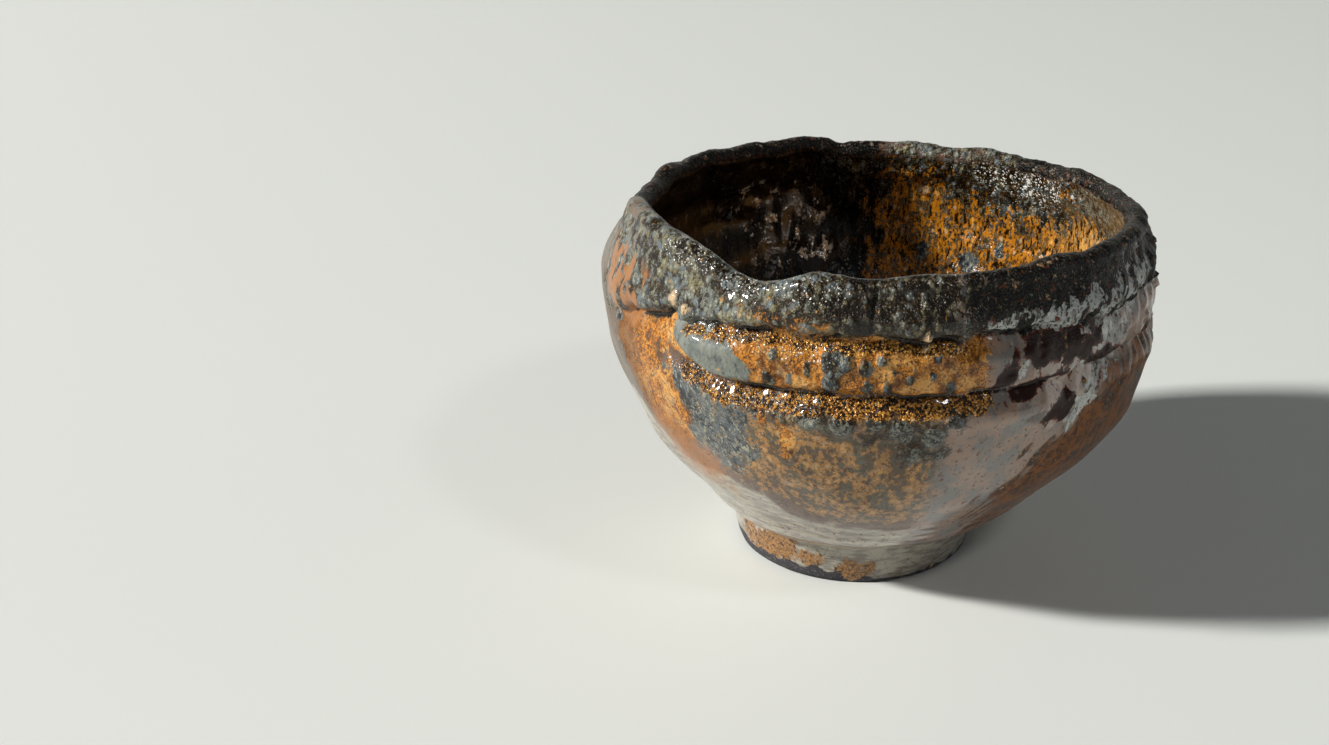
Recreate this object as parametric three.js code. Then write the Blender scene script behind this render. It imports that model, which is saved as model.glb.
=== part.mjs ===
// Hand-formed tea bowl in wood-fired stoneware: one hollow fired piece with an uneven rim,
// two finger-cut grooves round the outside and a turned foot ring with a recess under it.
// Millimetres, +Z up. Azimuths are degrees, counterclockwise seen from above: 0 is +X and
// 270 is the front. A nominal height is a height before the rim is lifted and dipped.

import * as THREE from 'three';

// Foot ring
const FOOT_HEIGHT = 9.6;
const FOOT_RADIUS = 25.8;
const FOOT_TOP_RADIUS = 28.2;
const FOOT_EDGE = 0.9;
const FOOT_RING_WIDTH = 6.2;
const FOOT_FLARE = 1.2;
const RECESS_DEPTH = 3.6;
const RECESS_SLOPE = 1.6;
const RECESS_MIDDLE = 0.5;
const FOOT_OFFSET = { x: -3.5, y: 0.5, level: 2, fade: 30 };

// Wall outside: a round belly that draws in to the lip
const BELLY_RADIUS = 58.8;
const BELLY_HEIGHT = 64;
const BELLY_ROUNDNESS = 2.2;
const LIP_RADIUS = 53.8;
const LIP_HEIGHT = 79.6;
const NECK_ROUNDNESS = 1.45;
const UNDERSIDE_SWELL = { amount: 1.5, height: 15, spread: 4.6, start: 2 };

// Wall inside and the well at the bottom
const BELLY_WALL = 5.4;
const LIP_WALL = 4.8;
const INSIDE_ROUNDNESS = 2;
const WELL_RADIUS = 21;
const WELL_RIM_HEIGHT = 12;
const WELL_FLOOR_HEIGHT = 10.4;
const WELL_RINGS = [0.7, 0.35, 0];

// How far the plan is from round, in millimetres at the belly and at the lip
const PLAN = {
  radius: BELLY_RADIUS,
  from: FOOT_HEIGHT,
  over: 38,
  waves: [
    { turns: 1, amount: 0.9, azimuth: -53 },
    { turns: 2, amount: 1.05, azimuth: 8 },
    { turns: 3, amount: 0.7, azimuth: 35 },
    { turns: 4, amount: 0.45, azimuth: -10 },
  ],
};
const LIP_PLAN = {
  radius: LIP_RADIUS,
  from: 60,
  over: 20,
  waves: [
    { turns: 1, amount: 2.4, azimuth: -72 },
    { turns: 2, amount: 2.1, azimuth: 76 },
    { turns: 3, amount: 0.6, azimuth: -10.6 },
  ],
};
const LIP_PINCH = { amount: 1, azimuth: 173, halfWidth: 20, from: 66, over: 12 };

// The rim runs higher at the front, dips near the front left and steps up at the back left
const RIM = {
  from: 30,
  over: 50,
  tilt: { amount: 3.75, azimuth: 272 },
  dip: { amount: 3.5, azimuth: 245.8, halfWidth: 13.5 },
  swells: [
    { amount: 1.6, azimuth: 211, halfWidth: 28 },
    { amount: 0.6, azimuth: 320, halfWidth: 45 },
  ],
  backStep: { amount: 1.35, start: 102, rise: 4, end: 172, fall: 8 },
  wobble: [
    { turns: 13, amount: 0.25, phase: 0.6 },
    { turns: 22, amount: 0.2, phase: 2.1 },
  ],
};

// Grooves are sharp under their upper edge and run out softly below
const UPPER_GROOVE = { height: 71.4, depth: 2, above: 1.2, below: 3.1 };
const UPPER_GROOVE_FALL = { from: 255, over: 60, drop: 13, bend: 1.6 };
const UPPER_GROOVE_RIGHT = { from: 295, over: 30, drop: 2.2, shallower: 0.8, prouder: 0.5 };
const UPPER_GROOVE_ENDS = { start: 190, rise: 24, end: 60, fall: 45 };
const LOWER_GROOVE = { height: 59.6, depth: 1.8, above: 1.2, below: 2.6 };
const LOWER_GROOVE_FALL = { from: 262, over: 16, drop: 1.2 };
const LOWER_GROOVE_HOOK = { from: 240, over: 14, rise: 2.2 };
const LOWER_GROOVE_RIGHT = { from: 330, over: 22, drop: 1.8, wider: 1.4 };
const LOWER_GROOVE_ENDS = { start: 225, rise: 9, end: 60, fall: 45 };
const RIM_BAND = { amount: 0.8, above: 4.2, spread: 2.6 };
const LOWER_LEDGE = { amount: 0.8, below: 5.4, spread: 2.4 };

// Broad swells of the outside, and hollows where the amount is below 0
const SWELLS = [
  { place: 'tongue between the grooves', amount: 1.2, azimuth: 237, halfWidth: 16, height: 65, spread: 3.4 },
  { place: 'right shoulder', amount: 1.6, azimuth: 350, halfWidth: 45, height: 38, spread: 9 },
  { place: 'flat above it', amount: -1.4, azimuth: 355, halfWidth: 50, height: 66, spread: 16 },
  { place: 'left belly', amount: 0.9, azimuth: 205, halfWidth: 50, height: 28, spread: 6 },
  { place: 'tuck over the foot', amount: -1.4, azimuth: 205, halfWidth: 55, height: 17, spread: 5 },
];

// Slow lumps left by the hands, over the outside and more faintly inside
const LUMPS = [
  { turns: 5, perHeight: 0.13, amount: 0.22 },
  { turns: 11, perHeight: -0.21, amount: 0.2 },
  { turns: 17, perHeight: 0.34, amount: 0.16 },
];
const LUMP_START = 14;
const LUMP_RISE = 22;
const LUMP_SHARE = { outside: 1, lip: 0.8, inside: 0.6 };

// Mesh resolution
const SEGMENTS = 84;
const FOOT_ROWS = 3;
const UNDERSIDE_ROWS = 6;
const UNDERSIDE_TOP = 22;
const BELLY_ROWS = 6;
const GROOVE_BAND = { bottom: 50, top: 75, rows: 18 };
const NECK_ROWS = 2;
const LIP_ROWS = 5;
const INSIDE_ROWS = 11;

const radians = THREE.MathUtils.degToRad;
const smooth = (x) => THREE.MathUtils.smoothstep(x, 0, 1);
const clamp01 = (x) => THREE.MathUtils.clamp(x, 0, 1);
const turnFrom = (azimuth, start) => THREE.MathUtils.euclideanModulo(azimuth - start, 360);
const apart = (azimuth, other) => turnFrom(azimuth + 180, other) - 180;
// The same azimuth counted on from the back, so that the grooves run through 360 without a break
const pastBack = (azimuth) => (azimuth < 90 ? azimuth + 360 : azimuth);
const bell = (distance, spread) => Math.exp(-((distance / spread) ** 2));

function arch(azimuth, { azimuth: middle, halfWidth }) {
  const share = Math.min(Math.abs(apart(azimuth, middle)) / halfWidth, 1);
  return 0.5 * (1 + Math.cos(Math.PI * share));
}

function planShare(azimuth, nominal, { waves, radius, from, over }) {
  const sum = waves.reduce((total, wave) =>
    total + wave.amount * Math.cos(wave.turns * radians(azimuth - wave.azimuth)), 0);
  return smooth((nominal - from) / over) * sum / radius;
}

// How much the rim lifts at an azimuth
function rimLift(azimuth) {
  const { tilt, dip, swells, backStep, wobble } = RIM;
  const past = turnFrom(azimuth, backStep.start);
  const left = backStep.end - backStep.start - past;
  let lift = tilt.amount * Math.cos(radians(azimuth - tilt.azimuth));
  lift -= dip.amount * arch(azimuth, dip);
  lift += backStep.amount * smooth(past / backStep.rise) * smooth(left / backStep.fall);
  for (const swell of swells) lift += swell.amount * arch(azimuth, swell);
  for (const wave of wobble) lift += wave.amount * Math.sin(wave.turns * radians(azimuth) + wave.phase);
  return lift;
}

// 1 along a groove, fading to 0 where it runs out on the left and at the back
function presence(azimuth, { start, rise, end, fall }) {
  const past = turnFrom(azimuth, start);
  const left = 360 + end - start - past;
  return smooth(past / rise) * smooth(left / fall);
}

function grooveCut(offset, { depth, above, below }) {
  return depth * bell(offset, offset > 0 ? above : below);
}

// 0 at the front and 1 where a groove has come round to the right
function rightShare(azimuth, { from, over }) {
  return smooth((pastBack(azimuth) - from) / over);
}

function upperGrooveHeight(azimuth) {
  const leftward = clamp01((UPPER_GROOVE_FALL.from - pastBack(azimuth)) / UPPER_GROOVE_FALL.over);
  return UPPER_GROOVE.height
    - UPPER_GROOVE_FALL.drop * leftward ** UPPER_GROOVE_FALL.bend
    - UPPER_GROOVE_RIGHT.drop * rightShare(azimuth, UPPER_GROOVE_RIGHT);
}

function lowerGrooveHeight(azimuth) {
  const leftward = smooth((LOWER_GROOVE_FALL.from - pastBack(azimuth)) / LOWER_GROOVE_FALL.over);
  const hook = smooth((LOWER_GROOVE_HOOK.from - pastBack(azimuth)) / LOWER_GROOVE_HOOK.over);
  return LOWER_GROOVE.height
    - LOWER_GROOVE_FALL.drop * leftward
    + LOWER_GROOVE_HOOK.rise * hook
    - LOWER_GROOVE_RIGHT.drop * rightShare(azimuth, LOWER_GROOVE_RIGHT);
}

// Everything that is cut into or stands proud of the outside, measured outward
function outsideRelief(azimuth, height) {
  const upper = presence(azimuth, UPPER_GROOVE_ENDS);
  const lower = presence(azimuth, LOWER_GROOVE_ENDS);
  const upperRight = rightShare(azimuth, UPPER_GROOVE_RIGHT);
  const lowerRight = rightShare(azimuth, LOWER_GROOVE_RIGHT);
  const fromUpper = height - upperGrooveHeight(azimuth);
  const fromLower = height - lowerGrooveHeight(azimuth);
  const upperCut = { ...UPPER_GROOVE, depth: UPPER_GROOVE.depth - UPPER_GROOVE_RIGHT.shallower * upperRight };
  const lowerCut = { ...LOWER_GROOVE, above: LOWER_GROOVE.above + LOWER_GROOVE_RIGHT.wider * lowerRight };
  const bandAmount = RIM_BAND.amount + UPPER_GROOVE_RIGHT.prouder * upperRight;
  let relief = -upper * grooveCut(fromUpper, upperCut) - lower * grooveCut(fromLower, lowerCut);
  relief += upper * bandAmount * bell(fromUpper - RIM_BAND.above, RIM_BAND.spread);
  relief += lower * LOWER_LEDGE.amount * bell(fromLower + LOWER_LEDGE.below, LOWER_LEDGE.spread);
  for (const swell of SWELLS) {
    relief += swell.amount * arch(azimuth, swell) * bell(height - swell.height, swell.spread);
  }
  return relief;
}

function lumps(azimuth, height) {
  const sum = LUMPS.reduce((total, wave) =>
    total + wave.amount * Math.sin(wave.turns * radians(azimuth) + wave.perHeight * height), 0);
  return smooth((height - LUMP_START) / LUMP_RISE) * sum;
}

const footRadius = (height) =>
  FOOT_RADIUS + (FOOT_TOP_RADIUS - FOOT_RADIUS) * (height / FOOT_HEIGHT) ** FOOT_FLARE;

// Radius of the outside above the foot, before relief
function outsideRadius(nominal) {
  const swell = UNDERSIDE_SWELL.amount
    * bell(nominal - UNDERSIDE_SWELL.height, UNDERSIDE_SWELL.spread)
    * smooth((nominal - FOOT_HEIGHT) / UNDERSIDE_SWELL.start);
  if (nominal < BELLY_HEIGHT) {
    const left = (BELLY_HEIGHT - nominal) / (BELLY_HEIGHT - FOOT_HEIGHT);
    return FOOT_TOP_RADIUS + (BELLY_RADIUS - FOOT_TOP_RADIUS) * (1 - left ** BELLY_ROUNDNESS) + swell;
  }
  const up = (nominal - BELLY_HEIGHT) / (LIP_HEIGHT - BELLY_HEIGHT);
  return BELLY_RADIUS - (BELLY_RADIUS - LIP_RADIUS) * up ** NECK_ROUNDNESS;
}

function insideRadius(nominal) {
  if (nominal < BELLY_HEIGHT) {
    const left = (BELLY_HEIGHT - nominal) / (BELLY_HEIGHT - WELL_RIM_HEIGHT);
    const widest = BELLY_RADIUS - BELLY_WALL;
    return WELL_RADIUS + (widest - WELL_RADIUS) * (1 - left ** INSIDE_ROUNDNESS);
  }
  const up = (nominal - BELLY_HEIGHT) / (LIP_HEIGHT - BELLY_HEIGHT);
  return outsideRadius(nominal) - THREE.MathUtils.lerp(BELLY_WALL, LIP_WALL, up);
}

// Evenly spaced values after the first, up to and with the last
const steps = (first, last, count) =>
  Array.from({ length: count }, (_, i) => first + (last - first) * (i + 1) / count);

// The section from the axis under the foot, out, up the outside, over the lip and down to the well
function section() {
  const rows = [];
  const add = (radius, height, side) => rows.push({ radius, height, side });
  const ringInside = FOOT_RADIUS - FOOT_RING_WIDTH;
  add(0, RECESS_DEPTH, 'foot');
  add(ringInside * RECESS_MIDDLE, RECESS_DEPTH, 'foot');
  add(ringInside - RECESS_SLOPE, RECESS_DEPTH - FOOT_EDGE / 2, 'foot');
  add(ringInside, FOOT_EDGE / 2, 'foot');
  add(ringInside + FOOT_EDGE, 0, 'foot');
  add(FOOT_RADIUS - FOOT_EDGE, 0, 'foot');
  for (const height of steps(0, FOOT_HEIGHT, FOOT_ROWS)) add(footRadius(height), height, 'foot');
  const outsideHeights = [
    ...steps(FOOT_HEIGHT, UNDERSIDE_TOP, UNDERSIDE_ROWS),
    ...steps(UNDERSIDE_TOP, GROOVE_BAND.bottom, BELLY_ROWS),
    ...steps(GROOVE_BAND.bottom, GROOVE_BAND.top, GROOVE_BAND.rows),
  ];
  for (const height of outsideHeights) add(outsideRadius(height), height, 'outside');
  const lipRound = LIP_WALL / 2;
  const shoulder = LIP_HEIGHT - lipRound;
  for (const height of steps(GROOVE_BAND.top, shoulder, NECK_ROWS)) {
    add(outsideRadius(height), height, 'outside');
  }
  const lipMiddle = outsideRadius(shoulder) - lipRound;
  for (const angle of steps(0, Math.PI, LIP_ROWS)) {
    add(lipMiddle + lipRound * Math.cos(angle), shoulder + lipRound * Math.sin(angle), 'lip');
  }
  for (const height of steps(shoulder, WELL_RIM_HEIGHT, INSIDE_ROWS)) {
    add(insideRadius(height), height, 'inside');
  }
  for (const share of WELL_RINGS) {
    const rise = (WELL_RIM_HEIGHT - WELL_FLOOR_HEIGHT) * share ** 2;
    add(WELL_RADIUS * share, WELL_FLOOR_HEIGHT + rise, 'well');
  }
  return rows;
}

// Where a point of the turned section ends up on the hand-formed bowl
function formed({ radius, height, side }, azimuth) {
  const lifted = height + smooth((height - RIM.from) / RIM.over) * rimLift(azimuth);
  const plan = 1 + planShare(azimuth, height, PLAN) + planShare(azimuth, height, LIP_PLAN);
  const pinched = smooth((height - LIP_PINCH.from) / LIP_PINCH.over);
  let reach = radius * plan - LIP_PINCH.amount * arch(azimuth, LIP_PINCH) * pinched;
  reach += (LUMP_SHARE[side] ?? 0) * lumps(azimuth, height);
  if (side === 'outside') reach += outsideRelief(azimuth, lifted);
  const footShare = 1 - smooth((height - FOOT_OFFSET.level) / FOOT_OFFSET.fade);
  return new THREE.Vector3(
    reach * Math.cos(radians(azimuth)) + FOOT_OFFSET.x * footShare,
    reach * Math.sin(radians(azimuth)) + FOOT_OFFSET.y * footShare,
    lifted,
  );
}

function bowlGeometry() {
  const rows = section();
  const outline = rows.map(({ radius, height }) => new THREE.Vector2(radius, height));
  const geometry = new THREE.LatheGeometry(outline, SEGMENTS);
  const position = geometry.attributes.position;
  for (let i = 0; i < position.count; i++) {
    const row = rows[i % rows.length];
    const segment = Math.floor(i / rows.length) % SEGMENTS;
    const point = formed(row, segment * 360 / SEGMENTS);
    position.setXYZ(i, point.x, point.y, point.z);
  }
  // The origin is under the middle of the bowl's box, on the surface that it stands on
  geometry.computeBoundingBox();
  const middle = geometry.boundingBox.getCenter(new THREE.Vector3());
  geometry.translate(-middle.x, -middle.y, 0);
  geometry.computeVertexNormals();
  return geometry;
}

const glazedStoneware = new THREE.MeshStandardMaterial({
  name: 'glazed stoneware',
  color: 0x5a4a38,
  roughness: 0.35,
  metalness: 0,
});

const bowl = new THREE.Mesh(bowlGeometry(), glazedStoneware);
bowl.name = 'bowl';

const teaBowl = new THREE.Group();
teaBowl.name = 'tea_bowl';
teaBowl.add(bowl);

export default teaBowl;
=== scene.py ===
"""Looks of a wood-fired tea bowl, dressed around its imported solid.

The bowl is one fired piece. Its mesh is spun from one section and then pressed into the
hand-formed shape by the same sizes and formulas that the solid is made with, and finer relief
is added: ash granules, drips, blobs, cracks and throwing lines. The glaze is one procedural
material that reads where each finish lies from attributes on the mesh.

Sizes are millimetres and azimuths are degrees, counterclockwise seen from above: 0 is +X and
270 is the front. A nominal height is a height before the rim is lifted and dipped.
"""

import logging
import math
from dataclasses import dataclass, field
from enum import IntEnum
from functools import reduce
from operator import add
from typing import Iterable, Sequence, Union

import bmesh
import bpy
import numpy as np
from mathutils import Matrix, Vector, noise


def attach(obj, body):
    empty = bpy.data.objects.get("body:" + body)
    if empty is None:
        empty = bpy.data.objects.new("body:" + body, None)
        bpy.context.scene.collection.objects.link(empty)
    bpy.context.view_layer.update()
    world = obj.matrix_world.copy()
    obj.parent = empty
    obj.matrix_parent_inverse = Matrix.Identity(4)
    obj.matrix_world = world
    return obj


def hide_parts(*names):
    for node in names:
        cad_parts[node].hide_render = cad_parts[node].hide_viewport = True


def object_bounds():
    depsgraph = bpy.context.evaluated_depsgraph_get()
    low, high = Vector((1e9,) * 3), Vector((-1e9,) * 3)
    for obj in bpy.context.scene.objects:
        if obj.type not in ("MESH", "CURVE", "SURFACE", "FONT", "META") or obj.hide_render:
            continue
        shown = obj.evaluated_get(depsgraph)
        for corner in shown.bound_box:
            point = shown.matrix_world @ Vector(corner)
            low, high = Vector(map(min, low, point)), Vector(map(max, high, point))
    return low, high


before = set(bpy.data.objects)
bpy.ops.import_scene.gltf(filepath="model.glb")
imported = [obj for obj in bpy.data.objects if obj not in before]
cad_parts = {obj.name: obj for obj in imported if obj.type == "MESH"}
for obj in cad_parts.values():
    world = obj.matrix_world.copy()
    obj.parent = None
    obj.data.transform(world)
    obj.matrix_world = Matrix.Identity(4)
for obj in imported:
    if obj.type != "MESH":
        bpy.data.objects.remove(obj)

MM = 0.001
CAD_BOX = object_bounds()
log = logging.getLogger("tea_bowl")

Array = np.ndarray
Colour = tuple[float, float, float]

# Radius in millimetres at which azimuths turn into lengths on the outside, inside and foot.
REACH = 58.0
INSIDE_REACH = 50.0
FOOT_REACH = 26.0
# Radius of the bare recess under the foot, and the height below which the foot ring is bare.
RECESS_REACH = 19.8
STANDING = 0.2
# Height from which the ash starts on the back.
ASH_BEHIND_LOWEST = 69.0
# Gain that spreads the noise from about -1 to 1.
NOISE_GAIN = 1.6
FINISHES = (
    "ash", "slate", "olive", "blob", "tongue", "rust", "salmon", "gold", "wine", "painted_sheen", "black",
    "ash_painted_shade", "mauve_and_reflection", "painted_floor_reflection", "umber", "pale", "flow", "mottle", "crack_shade", "glint_white", "nub", "clay", "tan",
    "stone", "amber", "inner_rim", "inner_painted_glints", "inner_brown", "inner_stone", "inner_nub", "bright",
    "washed", "glint", "inner", "foot",
)


def smooth(x: Array) -> Array:
    """Returns 0 below 0, 1 above 1 and a smooth step between."""
    t = np.clip(x, 0.0, 1.0)
    return t * t * (3.0 - 2.0 * t)


def bell(distance: Array, spread: Union[float, Array]) -> Array:
    """Returns a bell curve that is 1 at no distance."""
    return np.exp(-((distance / spread) ** 2))


def turn_from(azimuth: Array, start: float) -> Array:
    """Returns how far an azimuth lies past another, from 0 to 360."""
    return np.mod(azimuth - start, 360.0)


def apart(azimuth: Array, other: float) -> Array:
    """Returns the signed angle between two azimuths, from -180 to 180."""
    return turn_from(azimuth + 180.0, other) - 180.0


def past_back(azimuth: Array) -> Array:
    """Returns the azimuth counted on from the back, so that the right side has no break."""
    return np.where(azimuth < 90.0, azimuth + 360.0, azimuth)


def arch(azimuth: Array, middle: float, half_width: float) -> Array:
    """Returns a round hump over an azimuth."""
    share = np.minimum(np.abs(apart(azimuth, middle)) / half_width, 1.0)
    return 0.5 * (1.0 + np.cos(np.pi * share))


def span(azimuth: Array, start: float, end: float, rise: float, fall: float) -> Array:
    """Returns 1 between two azimuths, with soft ends inside them.

    Args:
        azimuth: Azimuths in degrees.
        start: Where the stretch starts.
        end: Where it ends, counterclockwise from the start.
        rise: Degrees over which it comes in.
        fall: Degrees over which it goes out.

    Returns:
        The share at each azimuth, from 0 to 1.
    """
    past = turn_from(azimuth, start)
    left = (end - start) - past
    return smooth(past / rise) * smooth(left / fall)


class Side(IntEnum):
    """Which face of the bowl a row of the section belongs to."""

    FOOT = 0
    OUTSIDE = 1
    LIP = 2
    INSIDE = 3
    WELL = 4


@dataclass(frozen=True)
class Wave:
    """One wave round the bowl."""

    turns: int
    amount: float
    azimuth: float = 0.0


@dataclass(frozen=True)
class Swell:
    """A broad swell of the outside, or a hollow where its amount is below 0."""

    amount: float
    azimuth: float
    half_width: float
    height: float
    spread: float

    def at(self, azimuth: Array, height: Array) -> Array:
        """Returns how far it stands out."""
        across = arch(azimuth, self.azimuth, self.half_width)
        return self.amount * across * bell(height - self.height, self.spread)


@dataclass(frozen=True)
class Plan:
    """How far the plan is from round."""

    radius: float
    start: float
    over: float
    waves: tuple[Wave, ...]

    def share(self, azimuth: Array, nominal: Array) -> Array:
        """Returns the share of the radius that is added."""
        total = sum(w.amount * np.cos(w.turns * np.radians(azimuth - w.azimuth)) for w in self.waves)
        return smooth((nominal - self.start) / self.over) * total / self.radius


@dataclass(frozen=True)
class Groove:
    """A finger-cut groove, sharp under its upper edge and running out softly below."""

    height: float
    depth: float
    above: float
    below: float
    start: float
    rise: float
    end: float
    fall: float

    def presence(self, azimuth: Array) -> Array:
        """Returns 1 along the groove, fading to 0 at its ends."""
        return span(azimuth, self.start, 360.0 + self.end, self.rise, self.fall)

    def cut(self, offset: Array, depth: Union[float, Array], above: Union[float, Array]) -> Array:
        """Returns the depth at a height above or below the groove's line."""
        return depth * bell(offset, np.where(offset > 0.0, above, self.below))


@dataclass(frozen=True)
class Section:
    """The turned section, before the hand moves it."""

    foot_height: float = 9.6
    foot_radius: float = 25.8
    foot_top_radius: float = 28.2
    foot_edge: float = 0.9
    foot_ring_width: float = 6.2
    foot_flare: float = 1.2
    recess_depth: float = 3.6
    recess_slope: float = 1.6
    belly_radius: float = 58.8
    belly_height: float = 64.0
    belly_roundness: float = 2.2
    lip_radius: float = 53.8
    lip_height: float = 79.6
    neck_roundness: float = 1.45
    swell: Swell = Swell(1.5, 0.0, 1.0, 15.0, 4.6)
    swell_start: float = 2.0
    belly_wall: float = 5.4
    lip_wall: float = 4.8
    inside_roundness: float = 2.0
    well_radius: float = 21.0
    well_rim_height: float = 12.0
    well_floor_height: float = 10.4

    def foot(self, height: Array) -> Array:
        """Returns the foot ring's outer radius."""
        share = (height / self.foot_height) ** self.foot_flare
        return self.foot_radius + (self.foot_top_radius - self.foot_radius) * share

    def outside(self, height: Array) -> Array:
        """Returns the outer radius above the foot."""
        start = smooth((height - self.foot_height) / self.swell_start)
        swell = self.swell.amount * bell(height - self.swell.height, self.swell.spread) * start
        left = np.clip((self.belly_height - height) / (self.belly_height - self.foot_height), 0.0, 1.0)
        reach = self.belly_radius - self.foot_top_radius
        belly = self.foot_top_radius + reach * (1.0 - left**self.belly_roundness) + swell
        up = np.clip((height - self.belly_height) / (self.lip_height - self.belly_height), 0.0, 1.0)
        neck = self.belly_radius - (self.belly_radius - self.lip_radius) * up**self.neck_roundness
        return np.where(height < self.belly_height, belly, neck)

    def inside(self, height: Array) -> Array:
        """Returns the inner radius above the well."""
        left = np.clip((self.belly_height - height) / (self.belly_height - self.well_rim_height), 0.0, 1.0)
        reach = self.belly_radius - self.belly_wall - self.well_radius
        belly = self.well_radius + reach * (1.0 - left**self.inside_roundness)
        up = np.clip((height - self.belly_height) / (self.lip_height - self.belly_height), 0.0, 1.0)
        neck = self.outside(height) - (self.belly_wall + (self.lip_wall - self.belly_wall) * up)
        return np.where(height < self.belly_height, belly, neck)

    def rows(self) -> list[tuple[float, float, Side]]:
        """Works out the section from the axis under the foot, over the lip, to the well's middle.

        Returns:
            Each row's radius, nominal height and side.
        """
        rows: list[tuple[float, float, Side]] = []

        def add(radii: Sequence[float], heights: Sequence[float], side: Side) -> None:
            """Adds rows of one side."""
            rows.extend((float(r), float(h), side) for r, h in zip(radii, heights))

        def steps(first: float, last: float, count: int) -> Array:
            """Returns evenly spaced values after the first, up to the last."""
            return np.linspace(first, last, count + 1)[1:]

        ring_inside = self.foot_radius - self.foot_ring_width
        flat = ring_inside - self.recess_slope
        add(np.linspace(0.0, flat, 7), [self.recess_depth] * 7, Side.FOOT)
        slope = [flat + 0.8, ring_inside - 0.3, ring_inside, ring_inside + 0.3]
        add(slope, [3.0, 1.0, 0.5, 0.15], Side.FOOT)
        flat_ring = np.linspace(ring_inside + self.foot_edge, self.foot_radius - self.foot_edge, 5)
        add(flat_ring, [0.0] * 5, Side.FOOT)
        foot_heights = np.concatenate([[0.12, 0.45], steps(0.9, self.foot_height, 13)])
        edge = self.foot_edge * np.clip(1.0 - foot_heights / self.foot_edge, 0.0, 1.0) ** 2
        add(self.foot(foot_heights) - edge, foot_heights, Side.FOOT)
        outside_heights = np.concatenate([
            steps(self.foot_height, 30.0, 30),
            steps(30.0, 48.0, 25),
            steps(48.0, self.lip_height - self.lip_wall / 2, 60),
        ])
        add(self.outside(outside_heights), outside_heights, Side.OUTSIDE)
        lip_round = self.lip_wall / 2
        shoulder = self.lip_height - lip_round
        middle = float(self.outside(np.array(shoulder))) - lip_round
        angles = steps(0.0, math.pi, 14)
        add(middle + lip_round * np.cos(angles), shoulder + lip_round * np.sin(angles), Side.LIP)
        inside_heights = np.concatenate([
            steps(shoulder, 58.0, 20),
            steps(58.0, 36.0, 16),
            steps(36.0, self.well_rim_height, 14),
        ])
        add(self.inside(inside_heights), inside_heights, Side.INSIDE)
        well = np.linspace(1.0, 0.0, 9)[1:]
        well_rise = (self.well_rim_height - self.well_floor_height) * well**2
        add(self.well_radius * well, self.well_floor_height + well_rise, Side.WELL)
        return rows


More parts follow.
